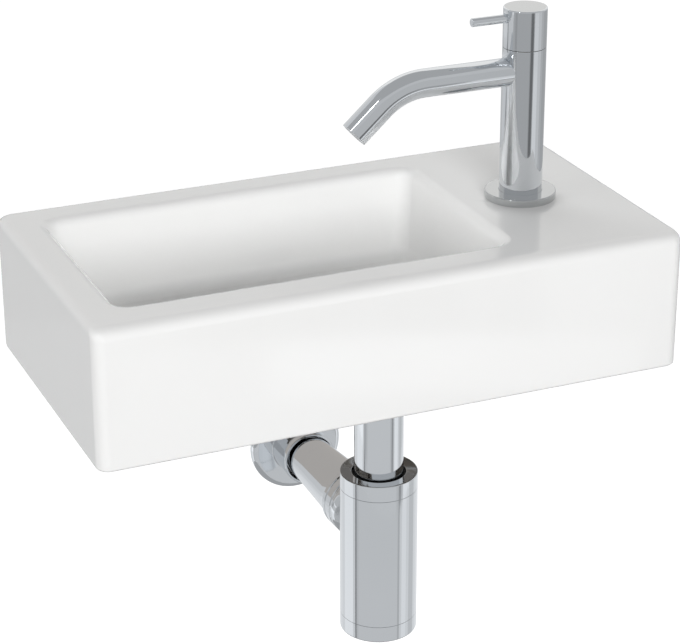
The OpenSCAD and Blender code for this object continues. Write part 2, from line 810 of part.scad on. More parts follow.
module waste_body() {
    color("silver") at_drain() turned([
        [waste_tail_r, waste_end_z], [waste_tail_r, flange_z], [waste_flange_r, flange_z],
        [waste_flange_r, flange_z + flange_edge_t],
        [waste_flange_r - washer_step, flange_z + 2 * flange_edge_t],
        [plug_recess_r + flange_lip_w, flange_top_z], [plug_recess_r, flange_top_z - flange_break],
        [plug_recess_r, plug_ledge_z], [waste_bore_r, plug_ledge_z], [waste_bore_r, guide_z],
        [socket_r, guide_z], [socket_r, waste_end_z]]);
}

module waste_under_seal() {
    color("black") at_drain() ring(under_seal_r, thread_r, drain_under_z - under_seal_t, under_seal_t);
}

module waste_washer() {
    color("whitesmoke") at_drain() ring(under_seal_r - washer_step, thread_r, waste_washer_z, waste_washer_t);
}

module waste_backnut() {
    color("goldenrod") at_drain() hex_nut(waste_nut_af, thread_r, waste_nut_z, waste_nut_h);
}

module plug_guide() {
    color("whitesmoke") at_drain() difference() {
        union() {
            ring(guide_r, guide_r - guide_rim_w, guide_z, guide_rim_h);
            translate([0, 0, guide_z]) cylinder(h = guide_hub_h, r = guide_hub_r);
            for (k = [0 : guide_spokes - 1]) rotate([0, 0, 360 * k / guide_spokes])
                translate([0, -spoke_w / 2, guide_z]) cube([guide_r - guide_rim_w / 2, spoke_w, guide_rim_h]);
        }
        translate([0, 0, guide_z - cut]) cylinder(h = guide_hub_h + 2 * cut, r = stem_r + gap);
    }
}

module plug_stem() {
    stop_z = guide_z - seat_gap - stem_stop_t;
    color("silver") at_drain() turned([
        [0, stop_z], [stem_stop_r, stop_z], [stem_stop_r, stop_z + stem_stop_t],
        [stem_r, stop_z + stem_stop_t], [stem_r, plug_under_z], [0, plug_under_z]]);
}

module plug_seal() {
    color("black") at_drain()
        ring(plug_seal_r, plug_seal_r - plug_seal_w, plug_under_z - plug_seal_t, plug_seal_t);
}

module waste_plug() {
    edge = plug_under_z + plug_edge_t;
    color("silver") at_drain() turned([
        [0, plug_under_z], [plug_r, plug_under_z], [plug_r, edge - edge_break],
        [plug_r - edge_break / 3, edge - edge_break / 3], [plug_r - edge_break, edge],
        [plug_r * 2 / 3, edge + plug_crown * 0.6], [plug_r / 3, edge + plug_crown * 0.93],
        [0, edge + plug_crown]]);
}

module tail_pipe_nut() {
    shoulder = waste_end_z - tail_seal_l - seat_gap;
    color("silver") at_drain() turned([
        [thread_r, tail_nut_top_z], [tail_nut_r, tail_nut_top_z],
        [tail_nut_r, tail_nut_end_z + tail_nut_chamfer_h],
        [tail_nut_r - tail_nut_chamfer_w, tail_nut_end_z], [pipe_r + lip_play, tail_nut_end_z],
        [pipe_r + lip_play, tail_nut_end_z + nut_lip_t], [tail_seal_r + seat_gap, shoulder],
        [thread_r, shoulder + nut_lip_t]]);
}

module tail_pipe_seal() {
    color("black") at_drain() turned([
        [pipe_r + gap, waste_end_z - gap], [tail_seal_r, waste_end_z - gap],
        [tail_seal_r, waste_end_z - tail_seal_l / 2], [pipe_r + seal_end_w, waste_end_z - tail_seal_l],
        [pipe_r + gap, waste_end_z - tail_seal_l]]);
}

module tail_pipe() {
    color("silver") at_drain() ring(pipe_r, pipe_bore_r, dip_end_z, tail_pipe_top_z - dip_end_z);
}

module trap_collar() {
    color("silver") at_drain() turned([
        [neck_r + gap, collar_z], [trap_r, collar_z], [trap_r, trap_top_z - collar_edge_w / 2],
        [trap_r - collar_edge_w / 2, trap_top_z], [trap_r - collar_edge_w, trap_top_z],
        [collar_mouth_r + collar_edge_w / 2, collar_dish_z], [collar_mouth_r, collar_dish_z - collar_edge_w / 2],
        [collar_mouth_r, collar_lip_z], [neck_r + gap, collar_lip_z]]);
}

module trap_top_seal() {
    color("black") at_drain() turned([
        [pipe_r + gap, trap_seal_z + gap], [trap_seal_r - gap, trap_seal_z + gap],
        [trap_seal_r - gap, collar_lip_z - gap], [collar_mouth_r - gap, collar_lip_z - gap],
        [collar_mouth_r - gap, trap_seal_lip_z], [pipe_r + gap, trap_seal_lip_z]]);
}

module trap_body() {
    color("silver") difference() {
        union() {
            at_drain() turned([
                [0, cup_z + joint_gap], [trap_r, cup_z + joint_gap], [trap_r, collar_z - joint_gap],
                [neck_r, collar_z - joint_gap], [neck_r, neck_top_z], [0, neck_top_z]]);
            along_outlet() cylinder(h = outlet_boss_y, r = outlet_boss_r);
            along_outlet() cylinder(h = outlet_ring_y, r = outlet_ring_r);
        }
        at_drain() translate([0, 0, cup_z - cut]) cylinder(h = shelf_z - cup_z + cut, r = trap_bore_r);
        at_drain() translate([0, 0, shelf_z - cut]) cylinder(h = trap_h, r = socket_r);
        at_drain() translate([0, 0, trap_seal_z]) cylinder(h = trap_h, r = trap_seal_r);
        along_outlet() cylinder(h = outlet_boss_y + cut, r = pipe_bore_r);
        along_outlet() translate([0, 0, outlet_socket_y]) cylinder(h = outlet_boss_y, r = socket_r);
    }
}

module cup_seal() {
    color("black") at_drain()
        ring(trap_bore_r - gap / 2, cup_groove_r + gap, cup_groove_z + gap, cup_groove_h - 2 * gap);
}

module trap_cup() {
    color("silver") at_drain() turned([
        [0, trap_end_z], [trap_r - cup_edge_r, trap_end_z],
        [trap_r - cup_edge_r / 3, trap_end_z + cup_edge_r / 3], [trap_r, trap_end_z + cup_edge_r],
        [trap_r, cup_z], [cup_spigot_r, cup_z], [cup_spigot_r, cup_groove_z],
        [cup_groove_r, cup_groove_z], [cup_groove_r, cup_groove_z + cup_groove_h],
        [cup_spigot_r, cup_groove_z + cup_groove_h], [cup_spigot_r, cup_z + cup_spigot_h],
        [cup_groove_r - cup_wall, cup_z + cup_spigot_h], [cup_groove_r - cup_wall, trap_end_z + cup_wall],
        [0, trap_end_z + cup_wall]]);
}

// A groove round the outlet nut's ring, from its side next to the trap
function outlet_groove(y) =
    [[outlet_ring_r, y], [outlet_ring_r - groove_depth, y + groove_slope],
     [outlet_ring_r - groove_depth, y + groove_slope + groove_floor],
     [outlet_ring_r, y + 2 * groove_slope + groove_floor]];

module outlet_nut() {
    ring_end = outlet_nut_y + outlet_nut_ring_l;
    flare_end = ring_end + outlet_flare_l;
    end = flare_end + outlet_cone_l;
    inner = outlet_boss_y + outlet_seal_l + seat_gap;
    color("silver") along_outlet() turned(concat(
        [[outlet_boss_r + gap, outlet_nut_y], [outlet_ring_r, outlet_nut_y]],
        [for (start = groove_starts) each outlet_groove(outlet_nut_y + start)],
        [[outlet_ring_r, ring_end], [outlet_ring_r - outlet_flare_w / 2, ring_end + outlet_flare_l / 6],
         [outlet_ring_r - outlet_flare_w, flare_end], [pipe_r + outlet_nut_tip_w, end], [pipe_r + gap, end],
         [pipe_r + gap, inner + nut_lip_t], [outlet_boss_r + gap, inner]]));
}

module outlet_seal() {
    color("black") along_outlet() turned([
        [pipe_r + gap, outlet_boss_y + gap], [outlet_boss_r - gap, outlet_boss_y + gap],
        [outlet_boss_r - gap, outlet_boss_y + outlet_seal_l / 2],
        [pipe_r + washer_step, outlet_boss_y + outlet_seal_l], [pipe_r + gap, outlet_boss_y + outlet_seal_l]]);
}

module outlet_pipe() {
    start = outlet_socket_y + joint_gap;
    end = outlet_run + outlet_grip;
    color("silver") along_outlet() turned([
        [pipe_bore_r, start], [pipe_r, start], [pipe_r, outlet_run],
        [outlet_end_r, outlet_run], [outlet_end_r, end], [pipe_bore_r, end]]);
}

module wall_rosette() {
    collar_r = rosette_bore_r + rosette_wall;
    color("silver") translate([rosette_x, 0, outlet_z]) rotate([90, 0, 0]) turned([
        [rosette_r - rosette_wall, 0], [rosette_r, 0], [rosette_r, rosette_plate - rosette_edge_r],
        [rosette_r - rosette_edge_r * 0.3, rosette_plate - rosette_edge_r * 0.3],
        [rosette_r - rosette_edge_r, rosette_plate], [collar_r, rosette_plate],
        [collar_r, rosette_collar - edge_break], [collar_r - edge_break, rosette_collar],
        [rosette_bore_r, rosette_collar], [rosette_bore_r, rosette_plate - rosette_wall],
        [rosette_r - rosette_edge_r - rosette_wall / 2, rosette_plate - rosette_wall],
        [rosette_r - rosette_wall, rosette_plate - rosette_edge_r - rosette_wall / 2]]);
}

basin();
wall_bolts();
fixing_bushes();
fixing_washers();
fixing_nuts();
tap_base_seal();
tap_base_ring();
tap_body();
tap_spout();
aerator_sleeve();
aerator_screen();
tap_shank();
tap_rubber_washer();
tap_steel_washer();
tap_backnut();
headwork_body();
headwork_seal();
seat_seal();
fixed_disc();
turning_disc();
valve_spindle();
spindle_seal();
tap_handle();
handle_lever();
grub_screw();
waste_top_seal();
waste_body();
waste_under_seal();
waste_washer();
waste_backnut();
plug_guide();
plug_stem();
plug_seal();
waste_plug();
tail_pipe_nut();
tail_pipe_seal();
tail_pipe();
trap_collar();
trap_top_seal();
trap_body();
cup_seal();
trap_cup();
outlet_nut();
outlet_seal();
outlet_pipe();
wall_rosette();
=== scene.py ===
import bpy
import bmesh
import json
from math import radians, sin, cos, sqrt, atan2, tau
from mathutils import Matrix, Quaternion, Vector


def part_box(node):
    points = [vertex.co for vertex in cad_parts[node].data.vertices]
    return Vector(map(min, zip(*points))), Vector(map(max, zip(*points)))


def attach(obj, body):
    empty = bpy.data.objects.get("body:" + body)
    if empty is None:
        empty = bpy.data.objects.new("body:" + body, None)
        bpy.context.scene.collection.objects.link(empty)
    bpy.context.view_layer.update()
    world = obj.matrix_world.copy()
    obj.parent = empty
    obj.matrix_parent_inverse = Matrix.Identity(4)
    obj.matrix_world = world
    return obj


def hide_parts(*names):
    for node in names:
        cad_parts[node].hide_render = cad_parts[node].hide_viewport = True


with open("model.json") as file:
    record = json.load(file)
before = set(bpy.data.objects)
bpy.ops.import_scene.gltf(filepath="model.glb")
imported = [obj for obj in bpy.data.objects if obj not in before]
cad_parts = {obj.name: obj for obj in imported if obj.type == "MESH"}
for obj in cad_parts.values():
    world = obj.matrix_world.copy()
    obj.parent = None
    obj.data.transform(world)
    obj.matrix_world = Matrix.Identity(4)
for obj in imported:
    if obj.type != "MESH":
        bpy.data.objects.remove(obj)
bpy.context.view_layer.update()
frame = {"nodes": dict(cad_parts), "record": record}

print("frame loaded:", len(frame["nodes"]), "nodes")

mm = 0.001
nodes = frame["nodes"]
scene = bpy.context.scene
xAxis, yAxis, zAxis = Vector((1, 0, 0)), Vector((0, 1, 0)), Vector((0, 0, 1))


# Camera, at the photograph's place

camera = {
    "place": (-0.535, -1.364, 0.578),
    "azimuth": -23.07,    # degrees round the basin, 0 is straight in front
    "elevation": 23.48,
    "roll": -0.18,
    "lens": 123.55,
    "clip": (0.05, 60),
}


def addCamera():
    side, up = radians(camera["azimuth"]), radians(camera["elevation"])
    back = Vector((sin(side) * cos(up), -cos(side) * cos(up), sin(up)))
    data = bpy.data.cameras.new("camera")
    data.lens = camera["lens"]
    data.clip_start, data.clip_end = camera["clip"]
    made = bpy.data.objects.new("camera", data)
    made.rotation_mode = "QUATERNION"
    made.location = camera["place"]
    roll = Quaternion(zAxis, radians(camera["roll"]))
    made.rotation_quaternion = (-back).to_track_quat("-Z", "Y") @ roll
    scene.collection.objects.link(made)
    scene.camera = made


addCamera()
scene.view_settings.view_transform = "Standard"
print("camera placed")


# Shader maths

class Sock:
    # an output of a node, with sums that add their Math nodes
    def __init__(self, tree, link):
        self.tree, self.link = tree, link

    def of(self, output):
        return Sock(self.tree, self.link.node.outputs[output])

    def maths(self, operation, first, second):
        return self.tree.node("ShaderNodeMath", {"operation": operation}, {0: first, 1: second})

    def __add__(self, other): return self.maths("ADD", self, other)
    def __radd__(self, other): return self.maths("ADD", other, self)
    def __sub__(self, other): return self.maths("SUBTRACT", self, other)
    def __rsub__(self, other): return self.maths("SUBTRACT", other, self)
    def __mul__(self, other): return self.maths("MULTIPLY", self, other)
    def __rmul__(self, other): return self.maths("MULTIPLY", other, self)


class Tree:
    # a node tree that is filled by one method
    def __init__(self, nodeTree):
        self.tree = nodeTree
        nodeTree.nodes.clear()

    def node(self, kind, settings=None, sockets=None, output=0):
        made = self.tree.nodes.new(kind)
        for key, value in (settings or {}).items():
            if key == "stops":
                self.setStops(made.color_ramp, value)
            else:
                setattr(made, key, value)
        for key, value in (sockets or {}).items():
            if isinstance(value, Sock):
                self.tree.links.new(value.link, made.inputs[key])
            else:
                made.inputs[key].default_value = value
        return Sock(self, made.outputs[output]) if len(made.outputs) else None

    def setStops(self, ramp, stops):
        while len(ramp.elements) > 1:
            ramp.elements.remove(ramp.elements[-1])
        ramp.elements[0].position, ramp.elements[0].color = stops[0][0], stops[0][1]
        for place, colour in stops[1:]:
            ramp.elements.new(place).color = colour

    def mix(self, share, first, second):
        return self.node("ShaderNodeMix", {"data_type": "RGBA"}, {0: share, 6: first, 7: second}, 2)


def newMaterial(name):
    made = bpy.data.materials.new(name)
    made.use_nodes = True
    return made, Tree(made.node_tree)


def noise(tree, place, scale, detail=3.0, stretch=(1, 1, 1)):
    spot = tree.node("ShaderNodeMapping", {}, {"Vector": place, "Scale": stretch})
    return tree.node("ShaderNodeTexNoise", {}, {"Vector": spot, "Scale": scale, "Detail": detail})


# A surface whose colour, roughness and relief wander a little
def surface(name, look):
    made, tree = newMaterial(name)
    place = tree.node("ShaderNodeTexCoord", output="Object")
    stretch = look.get("stretch", (1, 1, 1))
    tone = noise(tree, place, look["toneScale"])
    sheen = noise(tree, place, look["grainScale"], 4.0, stretch)
    low, high = look["rough"]
    relief = tree.node("ShaderNodeBump", {}, {
        "Strength": look["relief"], "Distance": look["reliefDepth"] * mm,
        "Height": noise(tree, place, look["reliefScale"], 2.0, stretch)})
    shader = tree.node("ShaderNodeBsdfPrincipled", {}, {
        "Base Color": tree.mix(tone, (*look["dark"], 1), (*look["light"], 1)),
        "Roughness": sheen * (high - low) + low, "Metallic": look.get("metal", 0.0),
        "IOR": look.get("ior", 1.5), "Normal": relief})
    tree.node("ShaderNodeOutputMaterial", {}, {"Surface": shader})
    return made


looks = {
    "ceramic": {
        "dark": (0.875, 0.875, 0.868), "light": (0.895, 0.895, 0.888), "rough": (0.05, 0.085), "ior": 1.7,
        "toneScale": 9, "grainScale": 30, "relief": 0.12, "reliefDepth": 0.15, "reliefScale": 22},
    # the unglazed underside: partly the clay's own colour, partly painted shade, darker than fired clay for
    # the dark line at the foot
    "shaded_bare_clay": {
        "dark": (0.34, 0.30, 0.26), "light": (0.42, 0.375, 0.325), "rough": (0.75, 0.9),
        "toneScale": 16, "grainScale": 120, "relief": 0.5, "reliefDepth": 0.15, "reliefScale": 180},
    # a darker copy of the chrome, painted shade for the tap's base ring and the flat top of the handle
    "shaded_chrome": {
        "dark": (0.54, 0.55, 0.555), "light": (0.59, 0.60, 0.605), "rough": (0.06, 0.10), "metal": 1.0,
        "toneScale": 18, "grainScale": 55, "relief": 0.05, "reliefDepth": 0.02, "reliefScale": 60},
    "chrome": {
        "dark": (0.74, 0.765, 0.79), "light": (0.78, 0.80, 0.825), "rough": (0.04, 0.07), "metal": 1.0,
        "toneScale": 18, "grainScale": 55, "relief": 0.05, "reliefDepth": 0.02, "reliefScale": 60},
    "brass": {
        "dark": (0.62, 0.45, 0.18), "light": (0.74, 0.57, 0.26), "rough": (0.22, 0.38), "metal": 1.0,
        "toneScale": 60, "grainScale": 400, "relief": 0.3, "reliefDepth": 0.05, "reliefScale": 300,
        "stretch": (0.1, 0.1, 1)},
    "zinc_steel": {
        "dark": (0.58, 0.59, 0.60), "light": (0.70, 0.71, 0.72), "rough": (0.25, 0.4), "metal": 1.0,
        "toneScale": 120, "grainScale": 260, "relief": 0.2, "reliefDepth": 0.04, "reliefScale": 400},
    "dark_steel": {
        "dark": (0.07, 0.07, 0.075), "light": (0.12, 0.12, 0.125), "rough": (0.35, 0.5), "metal": 1.0,
        "toneScale": 200, "grainScale": 500, "relief": 0.2, "reliefDepth": 0.03, "reliefScale": 500},
    "steel_mesh": {
        "dark": (0.45, 0.46, 0.47), "light": (0.6, 0.61, 0.62), "rough": (0.3, 0.45), "metal": 1.0,
        "toneScale": 300, "grainScale": 600, "relief": 0.2, "reliefDepth": 0.03, "reliefScale": 700},
    "black_rubber": {
        "dark": (0.018, 0.018, 0.018), "light": (0.035, 0.035, 0.035), "rough": (0.6, 0.8),
        "toneScale": 80, "grainScale": 300, "relief": 0.5, "reliefDepth": 0.08, "reliefScale": 700},
    "white_plastic": {
        "dark": (0.80, 0.80, 0.77), "light": (0.86, 0.86, 0.84), "rough": (0.35, 0.5),
        "toneScale": 60, "grainScale": 200, "relief": 0.3, "reliefDepth": 0.05, "reliefScale": 350},
    "grey_plastic": {
        "dark": (0.45, 0.46, 0.47), "light": (0.52, 0.53, 0.54), "rough": (0.35, 0.5),
        "toneScale": 90, "grainScale": 260, "relief": 0.3, "reliefDepth": 0.05, "reliefScale": 350},
    "valve_ceramic": {
        "dark": (0.80, 0.77, 0.70), "light": (0.88, 0.86, 0.80), "rough": (0.15, 0.25),
        "toneScale": 150, "grainScale": 300, "relief": 0.1, "reliefDepth": 0.02, "reliefScale": 500},
}
finishes = {name: surface(name, look) for name, look in looks.items()}
print("materials made:", len(finishes))


# Making and dressing pieces

tiny = 1e-7           # points closer than this are one, in metres
cornerSegments = 4    # flat steps of each rounded corner of a turned piece
carveTries = 8        # how often a cut is tried
sides = {    # how many flat sides stand for a round one
    "body": 160, "pipe": 144, "part": 120, "socket": 96, "hole": 72, "spigot": 64, "lever": 48, "small": 40,
}


def finishMesh(bm, name, weighted=True):
    mesh = bpy.data.meshes.new(name)
    bm.to_mesh(mesh)
    bm.free()
    made = bpy.data.objects.new(name, mesh)
    scene.collection.objects.link(made)
    for face in mesh.polygons:
        face.use_smooth = True
    if weighted:
        evenNormals(made)
    return made


def evenNormals(piece):
    modifier = piece.modifiers.new("normals", "WEIGHTED_NORMAL")
    modifier.keep_sharp = True


def dress(piece, body, slot, node):
    # its finish, the body it rides on and the node that it stands for
    if not any(piece.data.materials):
        piece.data.materials.clear()
        piece.data.materials.append(finishes[slot])
    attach(piece, body)
    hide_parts(node)


def edgesAmong(bm, verts):
    # in the mesh's own order, so that every run gives the same shape
    picked = set(verts)
    return [e for e in bm.edges if all(v in picked for v in e.verts)]


def facesUp(normal):
    return normal.z > 0.99


def roundCorners(bm, verts, size, segments):
    bmesh.ops.bevel(bm, geom=verts, offset=size, offset_type="OFFSET", segments=segments,
                    profile=0.5, affect="VERTICES", material=-1)


# A closed solid turned about Z from corners of (radius, height, round), in millimetres
def turnedMesh(corners, steps=sides["part"]):
    bm = bmesh.new()
    verts = [bm.verts.new((r * mm, 0, z * mm)) for r, z, _ in corners]
    bm.faces.new(verts)
    for size in sorted({corner[2] for corner in corners if corner[2] > 0}):
        picked = [v for v, corner in zip(verts, corners) if corner[2] == size]
        roundCorners(bm, picked, size * mm, cornerSegments)
    bmesh.ops.delete(bm, geom=bm.faces[:], context="FACES_ONLY")
    onAxis = [e for e in bm.edges if all(v.co.x < tiny for v in e.verts)]
    bmesh.ops.delete(bm, geom=onAxis, context="EDGES")
    bmesh.ops.spin(bm, geom=bm.verts[:] + bm.edges[:], cent=(0, 0, 0), axis=zAxis, dvec=(0, 0, 0),
                   angle=tau, steps=steps, use_merge=True, use_duplicate=False)
    bmesh.ops.remove_doubles(bm, verts=bm.verts[:], dist=tiny)
    bmesh.ops.recalc_face_normals(bm, faces=bm.faces[:])
    return bm


def turned(name, corners, place, steps=sides["part"]):
    bm = turnedMesh(corners, steps)
    bmesh.ops.transform(bm, matrix=place, verts=bm.verts[:])
    return finishMesh(bm, name)


def at(x, y, z):
    return Matrix.Translation((x, y, z))


def rod(radius, start, length, direction, steps=sides["spigot"]):
    # a plain cutter that is removed after use, in millimetres from a start in metres
    bm = bmesh.new()
    bmesh.ops.create_cone(bm, cap_ends=True, segments=steps, radius1=radius * mm, radius2=radius * mm,
                          depth=length * mm, matrix=at(0, 0, length / 2 * mm))
    turn = Vector(direction).to_track_quat("Z", "Y").to_matrix().to_4x4()
    bmesh.ops.transform(bm, matrix=at(*start) @ turn, verts=bm.verts[:])
    return finishMesh(bm, "cutter", False)


def isClosed(mesh):
    # whether a mesh has faces and no open edge
    bm = bmesh.new()
    bm.from_mesh(mesh)
    closed = len(bm.faces) > 0 and all(e.is_manifold for e in bm.edges)
    bm.free()
    return closed


def carve(piece, tool, operation="DIFFERENCE"):
    # the exact solver now and then leaves an empty or open mesh, so such a cut is made again
    modifier = piece.modifiers.new("carve", "BOOLEAN")
    modifier.operation, modifier.object, modifier.solver = operation, tool, "EXACT"
    for attempt in range(carveTries):
        piece.update_tag()
        ready = bpy.context.evaluated_depsgraph_get()
        ready.update()
        changed = bpy.data.meshes.new_from_object(piece.evaluated_get(ready))
        if isClosed(changed) or attempt == carveTries - 1:
            break
        print("cut made again:", piece.name)
        bpy.data.meshes.remove(changed)
    piece.modifiers.remove(modifier)
    old, piece.data = piece.data, changed
    bpy.data.meshes.remove(old)
    bpy.data.objects.remove(tool)


# Places, read from the frame

def centreOf(node):
    low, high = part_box(node)
    return (low + high) / 2


def heightsOf(node):
    # its lowest and highest point, in millimetres
    return [corner.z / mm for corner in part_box(node)]


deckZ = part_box("basin")[1].z
tapX, tapY, _ = centreOf("tap_base_ring")
drainX, drainY, _ = centreOf("trap_cup")
outletZ = centreOf("wall_rosette").z
rosetteX = centreOf("wall_rosette").x
outletAside = 6.5 * mm    # the outlet pipe meets the wall this far to the left of the drain
outletTurn = atan2(outletAside, -drainY)
outletWay = Vector((-sin(outletTurn), cos(outletTurn), 0))


# Basin: one shell, joined from rounded outlines

basin = {
    "wall": 9, "cornerRound": 8, "topRound": 5, "frontDepth": 10, "frontDrop": 8, "topSteps": 10,
    "cornerShrink": 0.4,    # how much of the upper edge's inset comes off the radius of the corners
    "footRound": 2, "skirtRound": 1.5, "holeRound": 1,
    "rimLeft": 25, "rimFront": 31, "rimBack": 25, "deckRight": 108,
    "deckInset": 8, "deckFrontInset": 3, "deckCorner": 2.5, "deckLap": 10,
    "bowlDepth": 58, "bowlFall": 4, "bowlCorner": 10, "rimRound": 6, "floorRound": 8, "underRound": 17,
    "leanSide": 7, "leanBack": 9, "leanFront": 2.5,
    "flatInset": 13, "underInset": 14, "flatCorner": 6, "flatDip": 0.4,
    "drainHole": 22.5, "drainSeat": 29.5, "drainBoss": 32.5, "bossDrop": 11,
    "tapHole": 17.5, "tapHoleCut": 60, "tapBoss": 27.5, "tapBossCut": 7, "tapDeck": 12,
    "fixingHole": 7, "fixingCut": 40, "fixingSpacing": 200,
    "longEdge": 60, "longCuts": 17, "shortCuts": 9, "arcSteps": 6,
    "lift": 0.03,    # two outlines of one height stand this far apart, which tells the bridge its way round
}


def outline(bm, around, corner, z):
    # the edges of a rounded rectangle, its straight sides divided
    known = set(bm.edges)
    x0, x1, y0, y1 = around
    made = bmesh.ops.create_grid(bm, x_segments=1, y_segments=1, size=0.5)["verts"]
    bmesh.ops.scale(bm, vec=((x1 - x0) * mm, (y1 - y0) * mm, 1), verts=made)
    bmesh.ops.translate(bm, vec=((x0 + x1) / 2 * mm, (y0 + y1) / 2 * mm, z * mm), verts=made)
    roundCorners(bm, made, corner * mm, basin["arcSteps"])
    bmesh.ops.delete(bm, geom=bm.faces[:], context="FACES_ONLY")
    straight = [e for e in bm.edges if e not in known and e.calc_length() > basin["longEdge"] * mm]
    span = {e: e.verts[0].co - e.verts[1].co for e in straight}
    longWay = [e for e in straight if abs(span[e].x) > abs(span[e].y)]
    shortWay = [e for e in straight if e not in longWay]
    bmesh.ops.subdivide_edges(bm, edges=longWay, cuts=basin["longCuts"])
    bmesh.ops.subdivide_edges(bm, edges=shortWay, cuts=basin["shortCuts"])
    return [e for e in bm.edges if e not in known]


def roundOutline(bm, radius, z):
    count = 4 * basin["arcSteps"] + 2 * (basin["longCuts"] + basin["shortCuts"]) + 4
    made = bmesh.ops.create_circle(bm, cap_ends=False, segments=count, radius=radius * mm,
                                   matrix=at(drainX, drainY, z * mm))["verts"]
    return edgesAmong(bm, made)


def grow(around, by):
    return (around[0] - by, around[1] + by, around[2] - by, around[3] + by)


def topOutlines(bm, outer, top):
    # the rounded upper edge from low to high, wider along the front than along the sides
    side = basin["topRound"]
    made = []
    for step in range(basin["topSteps"] + 1):
        turn = radians(90) * step / basin["topSteps"]
        drop = basin["frontDrop"] * (1 - sin(turn))
        inset = side - sqrt(side ** 2 - max(side - drop, 0) ** 2)
        front = outer[2] + basin["frontDepth"] * (1 - cos(turn))
        corner = basin["cornerRound"] - basin["cornerShrink"] * inset
        around = (outer[0] + inset, outer[1] - inset, front, outer[3] - inset)
        made.append(outline(bm, around, corner, top - drop - basin["lift"]))
    return made


def buildBasin():
    low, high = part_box("basin")
    x0, x1, y0, y1, foot, top = (v / mm for v in (low.x, high.x, low.y, high.y, low.z, high.z))
    outer = (x0, x1, y0, y1)
    rim = (x0 + basin["rimLeft"], x1 - basin["deckRight"], y0 + basin["rimFront"], y1 - basin["rimBack"])
    floor = (rim[0] + basin["leanSide"], rim[1] - basin["leanSide"],
             rim[2] + basin["leanFront"], rim[3] - basin["leanBack"])
    floorZ = top - basin["bowlDepth"]
    seatZ = floorZ - basin["bowlFall"]
    wall, corner, lap = basin["wall"], basin["bowlCorner"], basin["deckLap"]
    inset, frontInset = basin["deckInset"], basin["frontDepth"] + basin["deckFrontInset"]
    bossZ = seatZ - basin["bossDrop"]
    bm = bmesh.new()
    outerFoot = outline(bm, outer, basin["cornerRound"], foot)
    rounded = topOutlines(bm, outer, top)
    deckOuter = outline(bm, (x0 + inset, x1 - inset, y0 + frontInset, y1 - inset), basin["deckCorner"], top)
    deckInner = outline(bm, grow(rim, lap), corner + lap, top - basin["lift"])
    rimLoop = outline(bm, rim, corner, top)
    floorLoop = outline(bm, floor, corner, floorZ)
    flat = floorZ - basin["flatDip"]
    floorInner = outline(bm, grow(floor, -basin["flatInset"]), basin["flatCorner"], flat)
    seat = roundOutline(bm, basin["drainSeat"], seatZ)
    hole = roundOutline(bm, basin["drainHole"], seatZ - basin["lift"])
    holeFoot = roundOutline(bm, basin["drainHole"], bossZ)
    bossFoot = roundOutline(bm, basin["drainBoss"], bossZ + basin["lift"])
    bossTop = roundOutline(bm, basin["drainBoss"], seatZ - wall)
    underInner = outline(bm, grow(floor, -basin["underInset"]), basin["flatCorner"], flat - wall)
    underLoop = outline(bm, grow(floor, wall), corner + wall, floorZ - wall)
    deckUnder = outline(bm, grow(rim, wall), corner + wall, top - wall - basin["lift"])
    skirtTop = outline(bm, grow(outer, -wall), basin["cornerRound"], top - wall)
    skirtFoot = outline(bm, grow(outer, -wall), basin["cornerRound"], foot + basin["lift"])
    glazed = [outerFoot, *rounded, deckOuter, deckInner, rimLoop, floorLoop, floorInner, seat, hole, holeFoot]
    bare = [holeFoot, bossFoot, bossTop, underInner, underLoop, deckUnder, skirtTop, skirtFoot, outerFoot]
    for finish, chain in enumerate((glazed, bare)):
        for one, other in zip(chain, chain[1:]):
            for face in bmesh.ops.bridge_loops(bm, edges=one + other)["faces"]:
                face.material_index = finish
    # the loops to round, each with its radius and its number of flat steps
    rounds = [(outerFoot, basin["footRound"], 3), (rimLoop, basin["rimRound"], 8),
              (floorLoop, basin["floorRound"], 8), (underLoop, basin["underRound"], 5),
              (skirtFoot, basin["skirtRound"], 2), (hole, basin["holeRound"], 2)]
    for edges, size, segments in rounds:
        bmesh.ops.bevel(bm, geom=edges, offset=size * mm, offset_type="OFFSET", segments=segments,
                        profile=0.5, affect="EDGES", material=-1)
    bmesh.ops.recalc_face_normals(bm, faces=bm.faces[:])
    for face in bm.faces:    # the glaze runs round the edges of the foot
        if face.calc_center_median().z < (foot + basin["footRound"]) * mm and not facesUp(-face.normal):
            face.material_index = 0
    made = finishMesh(bm, "ceramic_basin", False)
    made.data.materials.append(finishes["ceramic"])
    # the underside takes the darkened bare clay, partly painted shade
    made.data.materials.append(finishes["shaded_bare_clay"])
    bossStart = (tapX, tapY, (top - basin["tapDeck"]) * mm)
    carve(made, rod(basin["tapBoss"], bossStart, basin["tapBossCut"], zAxis, sides["hole"]), "UNION")
    holeStart = (tapX, tapY, (top - basin["tapHoleCut"] / 2) * mm)
    carve(made, rod(basin["tapHole"], holeStart, basin["tapHoleCut"], zAxis, sides["hole"]))
    for side in (-0.5, 0.5):
        start = (side * basin["fixingSpacing"] * mm, (y1 - basin["fixingCut"] / 2) * mm, 0)
        carve(made, rod(basin["fixingHole"], start, basin["fixingCut"], yAxis, sides["small"]))
    for face in made.data.polygons:
        face.use_smooth = True
    evenNormals(made)
    dress(made, "basin_set", "ceramic", "basin")


buildBasin()
print("basin made")


# Tap

